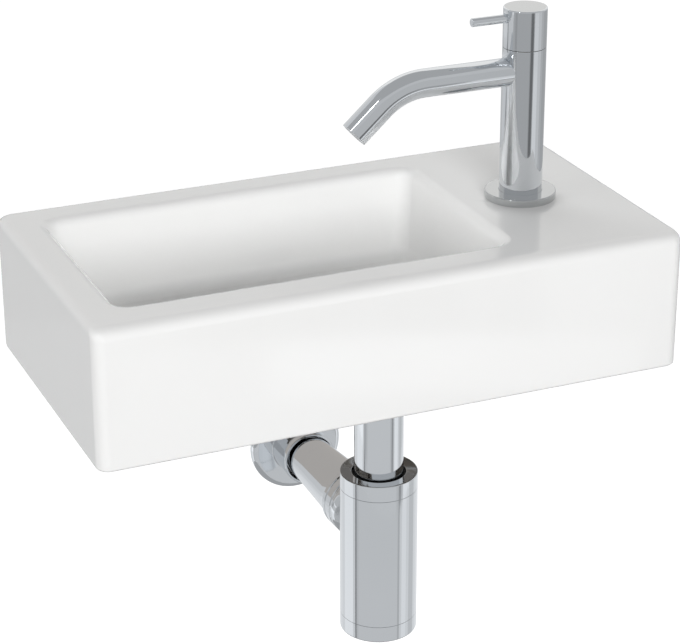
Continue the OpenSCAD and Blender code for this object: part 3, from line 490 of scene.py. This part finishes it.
tap = {
    "bodyRadius": 14, "ringRadius": 23, "ringHeight": 5, "edge": 0.8, "joint": 0.12, "play": 0.05,
    "sealIn": 15.1, "sealOut": 21.5, "sealDepth": 1.55,
    "chamber": 10, "chamberDepth": 31.4, "waterway": 5, "shank": 10.53, "shankIn": 16,
    "footSpigot": 12.08, "footUp": 0.5, "step": 3.5,
    "spoutRadius": 9.1, "spoutWall": 1.5, "spoutReach": 69.5, "bendRadius": 45, "bend": 42, "tip": 24,
    "lip": 0.3, "bendSteps": 28, "spigot": 8.2, "spoutCut": 30, "spoutBelowTop": 15.5,
    "cavity": 11.4, "cavityHeight": 9, "spindle": 4.05, "spindleIn": 17.65,
    "lever": 2.8, "leverStep": 0.5, "leverShoulder": 4, "leverRound": 0.7, "leverStart": 5.8,
    "leverReach": 37.7, "leverBelowTop": 6.4, "leverSocket": 5.5, "leverCut": 12,
    "grub": 2.05, "grubUp": 12.6, "grubSocket": 4, "grubCut": 14,
}


def buildBaseRing():
    r, inner, foot = tap["ringRadius"], tap["bodyRadius"] + tap["play"], tap["footSpigot"] + tap["play"]
    made = turned("tap_ring", [
        (foot, 0, 0), (tap["sealIn"], 0, 0), (tap["sealIn"], tap["sealDepth"], 0),
        (tap["sealOut"], tap["sealDepth"], 0), (tap["sealOut"], 0, 0),
        (r, 0, 0.2), (r, tap["ringHeight"], tap["edge"]), (inner, tap["ringHeight"], 0.15),
        (inner, tap["step"], 0), (foot, tap["step"], 0)], at(tapX, tapY, deckZ))
    # the ring takes the darker copy of the chrome, a painted shade
    made.data.materials.append(finishes["shaded_chrome"])
    dress(made, "basin_set", "chrome", "tap_base_ring")


def spoutHeight():
    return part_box("tap_body")[1].z - tap["spoutBelowTop"] * mm


def leverHeight():
    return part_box("tap_handle")[1].z - tap["leverBelowTop"] * mm


def buildTapBody():
    top = (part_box("tap_body")[1].z - deckZ) / mm
    r = tap["bodyRadius"]
    made = turned("tap_column", [
        (tap["waterway"], tap["shankIn"], 0), (tap["shank"], tap["shankIn"], 0),
        (tap["shank"], tap["footUp"], 0), (tap["footSpigot"], tap["footUp"], 0),
        (tap["footSpigot"], tap["step"], 0), (r, tap["step"], 0),
        (r, top, tap["joint"]), (tap["chamber"], top, 0.2), (tap["chamber"], top - tap["chamberDepth"], 0),
        (tap["waterway"], top - tap["chamberDepth"], 0)], at(tapX, tapY, deckZ), sides["body"])
    carve(made, rod(tap["spigot"] + tap["play"], (tapX, tapY, spoutHeight()), tap["spoutCut"], -xAxis))
    dress(made, "basin_set", "chrome", "tap_body")


def sweepSpout(bm, radius, length):
    # a ring of edges carried along the spout: straight, bent, straight
    ring = bmesh.ops.create_circle(bm, cap_ends=False, segments=sides["hole"], radius=radius * mm,
                                   matrix=Matrix.Rotation(radians(-90), 4, "Y"))["verts"]
    edges = edgesAmong(bm, ring)
    made = bmesh.ops.extrude_edge_only(bm, edges=edges)["geom"]
    front = [g for g in made if isinstance(g, bmesh.types.BMVert)]
    bmesh.ops.translate(bm, vec=-xAxis * tap["spoutReach"] * mm, verts=front)
    centre = Vector((-tap["spoutReach"], 0, -tap["bendRadius"])) * mm
    bent = bmesh.ops.spin(bm, geom=front + edgesAmong(bm, front), cent=centre, axis=-yAxis, dvec=(0, 0, 0),
                          angle=radians(tap["bend"]), steps=tap["bendSteps"],
                          use_merge=False, use_duplicate=False)
    last = [g for g in bent["geom_last"] if isinstance(g, bmesh.types.BMEdge)]
    tip = bmesh.ops.extrude_edge_only(bm, edges=last)["geom"]
    slope = radians(tap["bend"])
    bmesh.ops.translate(bm, vec=Vector((-cos(slope), 0, -sin(slope))) * length * mm,
                        verts=[g for g in tip if isinstance(g, bmesh.types.BMVert)])
    return edges, [g for g in tip if isinstance(g, bmesh.types.BMEdge)]


def buildSpout():
    bm = bmesh.new()
    outerRoot, outerTip = sweepSpout(bm, tap["spoutRadius"], tap["tip"])
    innerRoot, innerTip = sweepSpout(bm, tap["spoutRadius"] - tap["spoutWall"], tap["tip"])
    bmesh.ops.bridge_loops(bm, edges=outerTip + innerTip)
    bmesh.ops.bridge_loops(bm, edges=outerRoot + innerRoot)
    bmesh.ops.bevel(bm, geom=outerTip + innerTip, offset=tap["lip"] * mm, offset_type="OFFSET", segments=3,
                    profile=0.5, affect="EDGES", material=-1)
    bodyRadius = (tap["bodyRadius"] + tap["play"]) * mm
    for vert in bm.verts:
        if abs(vert.co.x) < tiny:    # the root follows the body's round
            vert.co.x = -sqrt(bodyRadius ** 2 - vert.co.y ** 2)
    bmesh.ops.recalc_face_normals(bm, faces=bm.faces[:])
    bmesh.ops.translate(bm, vec=(tapX, tapY, spoutHeight()), verts=bm.verts[:])
    dress(finishMesh(bm, "spout"), "basin_set", "chrome", "tap_spout")


def buildHandle():
    low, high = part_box("tap_handle")
    r, h = tap["bodyRadius"], (high.z - low.z) / mm
    made = turned("handle_cap", [
        (0, h, 0), (0, tap["spindleIn"], 0), (tap["spindle"], tap["spindleIn"], 0),
        (tap["spindle"], tap["cavityHeight"], 0), (tap["cavity"], tap["cavityHeight"], 0),
        (tap["cavity"], 0, 0.2), (r, 0, tap["joint"]), (r, h, tap["edge"])],
        at(tapX, tapY, low.z), sides["body"])
    leverZ = leverHeight()
    leverStart = (tapX - tap["leverSocket"] * mm, tapY, leverZ)
    carve(made, rod(tap["lever"] + tap["play"], leverStart, tap["leverCut"], -xAxis, sides["small"]))
    grubStart = (tapX, tapY + tap["grubSocket"] * mm, low.z + tap["grubUp"] * mm)
    carve(made, rod(tap["grub"], grubStart, tap["grubCut"], yAxis, sides["small"]))
    made.data.materials.append(finishes["chrome"])
    made.data.materials.append(finishes["shaded_chrome"])
    for face in made.data.polygons:    # the flat top takes the darker copy of the chrome, a painted shade
        face.material_index = int(facesUp(face.normal) and face.center.z > leverZ)
    dress(made, "handle", "chrome", "tap_handle")


def buildLever():
    r, start, end = tap["lever"], tap["leverStart"], tap["leverReach"]
    root, shoulder = r - tap["leverStep"], tap["bodyRadius"] - tap["leverShoulder"]
    made = turned("lever", [
        (0, start, 0), (root, start, 0.1), (root, shoulder, 0), (r, shoulder, 0),
        (r, end, tap["leverRound"]), (0, end, 0)],
        at(tapX, tapY, leverHeight()) @ Matrix.Rotation(radians(-90), 4, "Y"), sides["lever"])
    dress(made, "handle", "chrome", "handle_lever")


buildBaseRing()
buildTapBody()
buildSpout()
buildHandle()
buildLever()
print("tap made")


# Waste and plug

waste = {
    "flange": 28.5, "flangeHeight": 3, "edge": 0.8, "crest": 23.1, "tail": 20.95, "bore": 18,
    "recess": 21.6, "recessDepth": 1.8, "socket": 16.35, "socketDepth": 13.5,
    "plug": 21, "plugEdge": 2.5, "plugCrown": 1.5,
    "crownShares": (0.6, 0.93),    # of the crown's height, at two thirds and one third of the radius
}


def buildWasteBody():
    low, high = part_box("waste_body")
    top, end = (high.z - deckZ) / mm, (low.z - deckZ) / mm
    flangeZ, recessZ = top - waste["flangeHeight"], top - waste["recessDepth"]
    socketZ = end + waste["socketDepth"]
    made = turned("waste_flange", [
        (waste["tail"], end, 0.4), (waste["tail"], flangeZ, 0), (waste["flange"], flangeZ, 0.2),
        (waste["flange"], flangeZ + waste["edge"], 0.3), (waste["crest"], top, 1),
        (waste["recess"], top, 0.4), (waste["recess"], recessZ, 0.2), (waste["bore"], recessZ, 0.3),
        (waste["bore"], socketZ, 0), (waste["socket"], socketZ, 0), (waste["socket"], end, 0.3)],
        at(drainX, drainY, deckZ))
    dress(made, "basin_set", "chrome", "waste_body")


def buildPlug():
    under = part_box("waste_plug")[0].z
    r, edge, crown = waste["plug"], waste["plugEdge"], waste["plugCrown"]
    outer, inner = (edge + crown * share for share in waste["crownShares"])
    made = turned("plug_cap", [
        (0, 0, 0), (r, 0, 0.3), (r, edge, 0.8), (r * 2 / 3, outer, 6), (r / 3, inner, 5),
        (0, edge + crown, 0)], at(drainX, drainY, under))
    dress(made, "plug", "chrome", "waste_plug")


buildWasteBody()
buildPlug()
print("waste made")


# Tail pipe and bottle trap

trap = {
    "pipe": 16, "pipeWall": 1.3, "radius": 25.4, "wall": 2.2, "neck": 22.6, "edge": 0.5, "joint": 0.1,
    "gap": 0.15, "play": 0.05,
    "collarDish": 0.5, "collarLip": 4.5, "collarMouth": 17.8, "collarRim": 0.8,
    "cupSpigot": 23.15, "cupSpigotHeight": 8.5, "cupWall": 2.5, "cupEdge": 1.2,
    "cupGroove": (3.6, 6), "cupGrooveDepth": 1.5,
    "nutRadius": 25.15, "nutChamfer": 3, "nutTaper": 2.5, "nutBore": 21, "nutPlay": 0.35,
    "nutMouth": 2, "nutSeat": 4.7, "nutSeatRadius": 20.85, "nutThread": 6.7,
    "bodyMouth": 20.2, "mouthDepth": 1.2, "shoulder": 7.2,
}


def buildTailPipe():
    low, high = heightsOf("tail_pipe")
    r, bore = trap["pipe"], trap["pipe"] - trap["pipeWall"]
    made = turned("tail_tube", [
        (bore, low, 0), (r, low, 0.3), (r, high, 0.3), (bore, high, 0)], at(drainX, drainY, 0), sides["pipe"])
    dress(made, "basin_set", "chrome", "tail_pipe")


def buildTailNut():
    low, high = heightsOf("tail_pipe_nut")
    outer, bore, inner = trap["nutRadius"], trap["nutBore"], trap["pipe"] + trap["nutPlay"]
    made = turned("tail_nut", [
        (bore, high, 0.2), (outer, high, 0.5), (outer, low + trap["nutChamfer"], 1),
        (outer - trap["nutTaper"], low, 0.5), (inner, low, 0.2), (inner, low + trap["nutMouth"], 0),
        (trap["nutSeatRadius"], low + trap["nutSeat"], 0), (bore, low + trap["nutThread"], 0)],
        at(drainX, drainY, 0))
    dress(made, "basin_set", "chrome", "tail_pipe_nut")


def buildCollar():
    low, high = heightsOf("trap_collar")
    r, neck, mouth = trap["radius"], trap["neck"] + trap["play"], trap["collarMouth"]
    made = turned("trap_ring", [
        (neck, low, 0), (r, low, trap["joint"]), (r, high, trap["edge"]), (r - trap["collarRim"], high, 0.15),
        (mouth, high - trap["collarDish"], 0.4), (mouth, high - trap["collarLip"], 0),
        (neck, high - trap["collarLip"], 0)], at(drainX, drainY, 0), sides["body"])
    dress(made, "basin_set", "chrome", "trap_collar")


def buildCup():
    low, high = heightsOf("trap_cup")
    rim, floor = high - trap["cupSpigotHeight"], low + trap["cupWall"]
    r, spigot = trap["radius"], trap["cupSpigot"]
    groove = spigot - trap["cupGrooveDepth"]
    inner = groove - trap["cupWall"]
    grooveLow, grooveHigh = (rim + up for up in trap["cupGroove"])
    made = turned("bottle_cup", [
        (0, low, 0), (r, low, trap["cupEdge"]), (r, rim, trap["joint"]), (spigot, rim, 0),
        (spigot, grooveLow, 0), (groove, grooveLow, 0), (groove, grooveHigh, 0), (spigot, grooveHigh, 0),
        (spigot, high, 0.3), (inner, high, 0), (inner, floor, 1), (0, floor, 0)],
        at(drainX, drainY, 0), sides["body"])
    dress(made, "basin_set", "chrome", "trap_cup")


# Outlet, from its socket in the trap to the wall

def alongOutlet():
    turn = Matrix.Rotation(outletTurn, 4, "Z") @ Matrix.Rotation(radians(-90), 4, "X")
    return at(drainX, drainY, outletZ) @ turn


outlet = {
    "bossStart": 20, "bossRadius": 19.6, "bossLength": 9, "boreCut": 30, "ringRadius": 21.5, "ringLength": 2,
    "socket": 16.35, "socketStart": 1,
    "nutRing": 13.5, "nutFlare": 5.5, "flareDrop": 2.4,
    "flareFirst": (0.9, 0.6),    # how far along the flare's first corner is, and its share of the drop
    "nutCone": 41, "nutTip": 0.6, "nutSeat": 4.3, "nutSeatSlope": 2,
    "grooves": (1.5, 8.7), "grooveDepth": 0.7, "grooveSlope": 0.4, "grooveFloor": 0.8,
    "pipeStep": 0.2, "pipeGrip": 30,
    "rosette": 33, "rosetteWall": 1.6, "plate": 6.2, "plateEdge": 4.2, "plateInset": 0.8,
    "collar": 29, "collarBore": 17, "collarWall": 1.6,
}


def outletBoss(bore):
    # the socket for the outlet, from inside the trap's wall outwards
    start, r, ring, socket = (outlet[key] for key in ("bossStart", "bossRadius", "ringRadius", "socket"))
    ringEnd, end, seat = (trap["radius"] + outlet[key] for key in ("ringLength", "bossLength", "socketStart"))
    bm = turnedMesh([
        (bore, start, 0), (ring, start, 0), (ring, ringEnd, 0.2), (r, ringEnd, 0), (r, end, 0.3),
        (socket, end, 0), (socket, seat, 0), (bore, seat, 0)], sides["socket"])
    bmesh.ops.transform(bm, matrix=alongOutlet(), verts=bm.verts[:])
    return finishMesh(bm, "cutter", False)


def buildTrapBody():
    low, high = heightsOf("trap_body")
    collarLow, _ = heightsOf("trap_collar")
    r, neck, socket = trap["radius"], trap["neck"], outlet["socket"]
    mouth, mouthZ = trap["bodyMouth"], collarLow - trap["mouthDepth"]
    inner, shoulderZ = r - trap["wall"], collarLow - trap["shoulder"]
    made = turned("bottle", [
        (inner, low, 0), (r, low, trap["joint"]), (r, collarLow - trap["gap"], trap["joint"]),
        (neck, collarLow - trap["gap"], 0), (neck, high, 0.2), (mouth, high, 0.2), (mouth, mouthZ, 0),
        (socket, mouthZ, 0), (socket, shoulderZ, 0), (inner, shoulderZ, 0)],
        at(drainX, drainY, 0), sides["body"])
    bore = trap["pipe"] - trap["pipeWall"]
    boss = outletBoss(bore)
    carve(boss, rod(inner, (drainX, drainY, low * mm), shoulderZ - low, zAxis, sides["body"]))
    carve(made, rod(bore, (drainX, drainY, outletZ), outlet["boreCut"], outletWay, sides["socket"]))
    carve(made, boss, "UNION")
    for face in made.data.polygons:
        face.use_smooth = True
    dress(made, "basin_set", "chrome", "trap_body")


def outletGroove(start):
    ring, floor = outlet["ringRadius"], outlet["ringRadius"] - outlet["grooveDepth"]
    first = start + outlet["grooveSlope"]
    last = first + outlet["grooveFloor"]
    return [(ring, start, 0.1), (floor, first, 0.1), (floor, last, 0.1),
            (ring, last + outlet["grooveSlope"], 0.1)]


def buildOutletNut():
    r, ring = trap["radius"], outlet["ringRadius"]
    start = r + outlet["ringLength"] + trap["gap"]
    ringEnd = start + outlet["nutRing"]
    flareEnd = ringEnd + outlet["nutFlare"]
    end = flareEnd + outlet["nutCone"]
    seat = r + outlet["bossLength"] + outlet["nutSeat"]
    thread, bore = outlet["bossRadius"] + trap["play"], trap["pipe"] + trap["play"]
    drop, (along, share) = outlet["flareDrop"], outlet["flareFirst"]
    made = turned("outlet_union", [
        (thread, start, 0), (ring, start, 0.3),
        *outletGroove(start + outlet["grooves"][0]), *outletGroove(start + outlet["grooves"][1]),
        (ring, ringEnd, 0.3), (ring - drop * share, ringEnd + along, 1), (ring - drop, flareEnd, 3),
        (trap["pipe"] + outlet["nutTip"], end, 0.2), (bore, end, 0), (bore, seat + outlet["nutSeatSlope"], 0),
        (thread, seat, 0)], alongOutlet(), sides["pipe"])
    dress(made, "basin_set", "chrome", "outlet_nut")


def buildOutletPipe():
    wallFace = Vector((outletAside, drainY, 0)).length / mm
    start = trap["radius"] + outlet["socketStart"] + trap["gap"]
    end = wallFace + outlet["pipeGrip"]
    r, bore = trap["pipe"], trap["pipe"] - trap["pipeWall"]
    thin = r - outlet["pipeStep"]
    made = turned("outlet_tube", [
        (bore, start, 0), (r, start, 0.2), (r, wallFace, 0.1), (thin, wallFace, 0.05), (thin, end, 0.4),
        (bore, end, 0)], alongOutlet(), sides["pipe"])
    dress(made, "basin_set", "chrome", "outlet_pipe")


def buildRosette():
    r, plate, wall = outlet["rosette"], outlet["plate"], outlet["rosetteWall"]
    edge = outlet["plateEdge"] + outlet["plateInset"]
    bore, outer = outlet["collarBore"], outlet["collarBore"] + outlet["collarWall"]
    made = turned("rosette", [
        (r - wall, 0, 0), (r, 0, 0.2), (r, plate, outlet["plateEdge"]), (outer, plate, 0.6),
        (outer, outlet["collar"], 0.6), (bore, outlet["collar"], 0.3), (bore, plate - wall, 0),
        (r - edge, plate - wall, 0), (r - wall, plate - edge, 0)],
        at(rosetteX, 0, outletZ) @ Matrix.Rotation(radians(90), 4, "X"), sides["pipe"])
    dress(made, "basin_set", "chrome", "wall_rosette")


buildTailPipe()
buildTailNut()
buildCollar()
buildCup()
buildTrapBody()
print("tail pipe and trap made")
buildOutletNut()
buildOutletPipe()
buildRosette()
print("outlet made")


# The small parts keep their frame mesh and take a finish from their slot

slotOf = {part["node"]: part["material_slot"] for part in frame["record"]["subparts"]}
for name, node in nodes.items():
    if not node.hide_render:
        node.data.materials.clear()
        node.data.materials.append(finishes[slotOf[name]])
print("small parts finished")


# Studio: floor, cards that the chrome reflects, lamps and world

studio = {
    "floorZ": -1.4, "floorHalf": 9, "floorGrey": 0.5, "floorLift": 0.95,
    "cardRadius": 1.4, "cardTurn": 5,
    "ceiling": (1.6, 0.45), "ground": (-1.39, 0.42),    # height and grey of two round cards
    "horizon": 1.0, "zenith": 0.0, "fade": 0.7,    # the world's light on the pieces, and where it ends
}

flatCards = {
    "glint": {"angle": (-52.6, 44.5), "distance": 1.3, "size": (0.055, 0.40), "grey": 9},
    "shade_high": {"place": (0.04, 0.012, -0.01), "size": (0.30, 0.08), "grey": 0.15},
    "shade_low": {"place": (-0.01, 0.012, -0.10), "size": (0.26, 0.10), "grey": 0.47},
}

# each lamp: its angles round and above the basin, its distance, its width and height, and its power
lamps = {
    "key": ((-7, 19.5), 2.3, (1.0, 1.0), 32.5),
    "fill": ((-86, 12), 2.3, (1.0, 1.0), 11),
    "back": ((170, 32), 2.3, (3.0, 0.8), 36),
}

cool, plain, shadow = (0.97, 0.985, 1), (1.0, 0.995, 0.98), (1.0, 0.94, 0.885)    # tints of the cards

# each row of cards: its lowest and highest point, then for each card
# the azimuth off the camera where it ends, its grey and its tint
cardRows = [
    (-1.38, -0.80, [(-135, 0.82), (-118, 0.78), (-77, 0.92), (-69, 0.72), (-63, 0.32), (-57, 0.56),
                    (55, 0.63), (61, 0.50), (68, 0.72), (84, 0.85), (95, 0.76), (118, 0.62), (135, 0.80),
                    (180, 0.86)]),
    (-0.80, -0.60, [(-140, 0.72), (-118, 0.72), (-75, 1.08), (-69, 0.76), (-57, 0.48), (-50, 0.56),
                    (50, 0.65), (57, 0.58), (65, 0.36), (71, 0.60), (92, 0.93), (102, 0.74), (122, 0.60),
                    (140, 0.72), (180, 0.86)]),
    (-0.60, -0.52, [(-110, 0.66), (-98, 0.50), (-63, 0.62), (-50, 0.42), (-38, 0.37), (30, 0.44), (38, 0.60),
                    (56, 1.15), (72, 0.76), (90, 0.62), (105, 0.50), (150, 0.43), (180, 0.60)]),
    (-0.52, -0.46, [(-110, 0.66), (-98, 0.50), (-63, 0.62), (-50, 0.42), (-38, 0.37), (30, 0.44),
                    (34, 0.36), (47, 0.13), (51, 0.40), (72, 0.76), (90, 0.62), (105, 0.50), (150, 0.43),
                    (180, 0.60)]),
    (-0.46, -0.25, [(-140, 0.56), (-110, 0.66), (-98, 0.32), (-63, 0.64), (-50, 0.44), (-38, 0.37),
                    (30, 0.44), (34, 0.36), (47, 0.17), (51, 0.40), (72, 0.76), (90, 0.62), (105, 0.50),
                    (150, 0.43), (180, 0.60)]),
    (-0.25, -0.165, [(-140, 0.56), (-110, 0.66), (-98, 0.60), (-60, 0.96), (-50, 0.44), (-38, 0.37),
                     (30, 0.44), (34, 0.36), (47, 0.17), (51, 0.40), (72, 0.72), (90, 0.62), (105, 0.50),
                     (150, 0.43), (180, 0.60)]),
    (-0.165, 0.45, [(-100, 0.74), (100, 0.55), (180, 0.74)]),
    (0.45, 0.95, [(-150, 0.96, plain), (-100, 0.74, plain), (100, 0.55), (140, 0.74, plain),
                  (180, 0.96, plain)]),
    (0.95, 1.6, [(-150, 0.96, plain), (-100, 0.70), (100, 0.60), (140, 0.70), (180, 0.96, plain)]),
]


def glow(name, strength, colour=(1, 1, 1)):
    made, tree = newMaterial(name)
    tree.node("ShaderNodeOutputMaterial", {}, {"Surface": tree.node(
        "ShaderNodeEmission", {}, {"Color": (*colour, 1), "Strength": strength})})
    return made


def onlyReflected(card):
    card.visible_camera = card.visible_diffuse = card.visible_shadow = card.visible_transmission = False


def addCard(name, first, last, low, high, grey, tint=cool):
    bm = bmesh.new()
    start = bm.verts.new((0, -studio["cardRadius"], low))
    end = bm.verts.new((0, -studio["cardRadius"], high))
    edge = bm.edges.new((start, end))
    turn = Matrix.Rotation(radians(camera["azimuth"] + first), 3, "Z")
    bmesh.ops.rotate(bm, cent=(0, 0, 0), matrix=turn, verts=bm.verts[:])
    bmesh.ops.spin(bm, geom=[start, end, edge], cent=(0, 0, 0), axis=zAxis, dvec=(0, 0, 0),
                   angle=radians(last - first), steps=max(1, round((last - first) / studio["cardTurn"])),
                   use_merge=False, use_duplicate=False)
    made = finishMesh(bm, name, False)
    made.data.materials.append(glow(name, grey, tint))
    onlyReflected(made)


def addCards():
    for row, (low, high, cards) in enumerate(cardRows):
        first = -180
        for place, (last, *tone) in enumerate(cards):
            addCard(f"card_{row}_{place}", first, last, low, high, *tone)
            first = last
    for name in ("ceiling", "ground"):
        z, grey = studio[name]
        bm = bmesh.new()
        bmesh.ops.create_circle(bm, cap_ends=True, segments=sides["lever"], radius=studio["cardRadius"],
                                matrix=at(0, 0, z))
        disc = finishMesh(bm, name, False)
        disc.data.materials.append(glow(name, grey, cool))
        onlyReflected(disc)


def towards(angle, distance):
    side, up = radians(angle[0]), radians(angle[1])
    return Vector((sin(side) * cos(up), -cos(side) * cos(up), sin(up))) * distance


# A flat card at a distance from a start, square to the way there
def addFlatCard(name, start, way, distance, size, grey, tint=cool):
    bm = bmesh.new()
    bmesh.ops.create_grid(bm, x_segments=1, y_segments=1, size=0.5)
    bmesh.ops.scale(bm, vec=(*size, 1), verts=bm.verts[:])
    turn = way.to_track_quat("Z", "Y").to_matrix().to_4x4()
    bmesh.ops.transform(bm, matrix=at(*(start + way * distance)) @ turn, verts=bm.verts[:])
    made = finishMesh(bm, name, False)
    made.data.materials.append(glow(name, grey, tint))
    onlyReflected(made)


def addFlatCards():
    # a bright one for the thin line on the spout, and two dark ones that the outlet and its rosette reflect
    glint = flatCards["glint"]
    way = towards(glint["angle"], 1)
    addFlatCard("glint", Vector((0, 0, 0)), way, glint["distance"], glint["size"], glint["grey"])
    for name in ("shade_high", "shade_low"):
        shade = flatCards[name]
        addFlatCard(name, Vector(shade["place"]), yAxis, 0, shade["size"], shade["grey"], shadow)


def addFloor():
    bm = bmesh.new()
    bmesh.ops.create_grid(bm, x_segments=1, y_segments=1, size=studio["floorHalf"])
    bmesh.ops.translate(bm, vec=(0, 0, studio["floorZ"]), verts=bm.verts[:])
    floor = finishMesh(bm, "floor", False)
    made, tree = newMaterial("floor")
    rays = tree.node("ShaderNodeLightPath", output="Is Camera Ray")
    seen = rays + rays.of("Is Glossy Ray") + rays.of("Is Transmission Ray")
    grey = studio["floorGrey"]
    matt = tree.node("ShaderNodeBsdfDiffuse", {}, {"Color": (grey, grey, grey, 1)})
    light = seen * studio["floorLift"]
    lift = tree.node("ShaderNodeEmission", {}, {"Color": (1, 1, 1, 1), "Strength": light})
    tree.node("ShaderNodeOutputMaterial", {}, {
        "Surface": tree.node("ShaderNodeAddShader", {}, {0: matt, 1: lift})})
    floor.data.materials.append(made)


def addLamp(name, angle, distance, size, power):
    lamp = bpy.data.lights.new(name, "AREA")
    lamp.shape, lamp.energy = "RECTANGLE", power
    lamp.size, lamp.size_y = size
    made = bpy.data.objects.new(name, lamp)
    made.location = towards(angle, distance)
    made.rotation_mode = "QUATERNION"
    made.rotation_quaternion = made.location.to_track_quat("Z", "Y")
    made.visible_glossy = False
    scene.collection.objects.link(made)


def lightStudio():
    # white to the camera and in reflections, and brighter low down than overhead for all other light
    world = bpy.data.worlds.new("studio")
    world.use_nodes = True
    scene.world = world
    tree = Tree(world.node_tree)
    rays = tree.node("ShaderNodeLightPath", output="Is Camera Ray")
    seen = rays + rays.of("Is Glossy Ray") + rays.of("Is Transmission Ray")
    way = tree.node("ShaderNodeTexCoord", output="Generated")
    height = tree.node("ShaderNodeSeparateXYZ", {}, {"Vector": way}, "Z")
    level = tree.node("ShaderNodeMapRange", {}, {
        "Value": height, "From Min": 0.0, "From Max": studio["fade"],
        "To Min": studio["horizon"], "To Max": studio["zenith"]})
    tree.node("ShaderNodeOutputWorld", {}, {"Surface": tree.node(
        "ShaderNodeBackground", {}, {"Color": (1, 1, 1, 1), "Strength": level + seen * (1 - level)})})
    for name, lamp in lamps.items():
        addLamp(name, *lamp)


addCards()
addFlatCards()
addFloor()
lightStudio()
print("studio set")
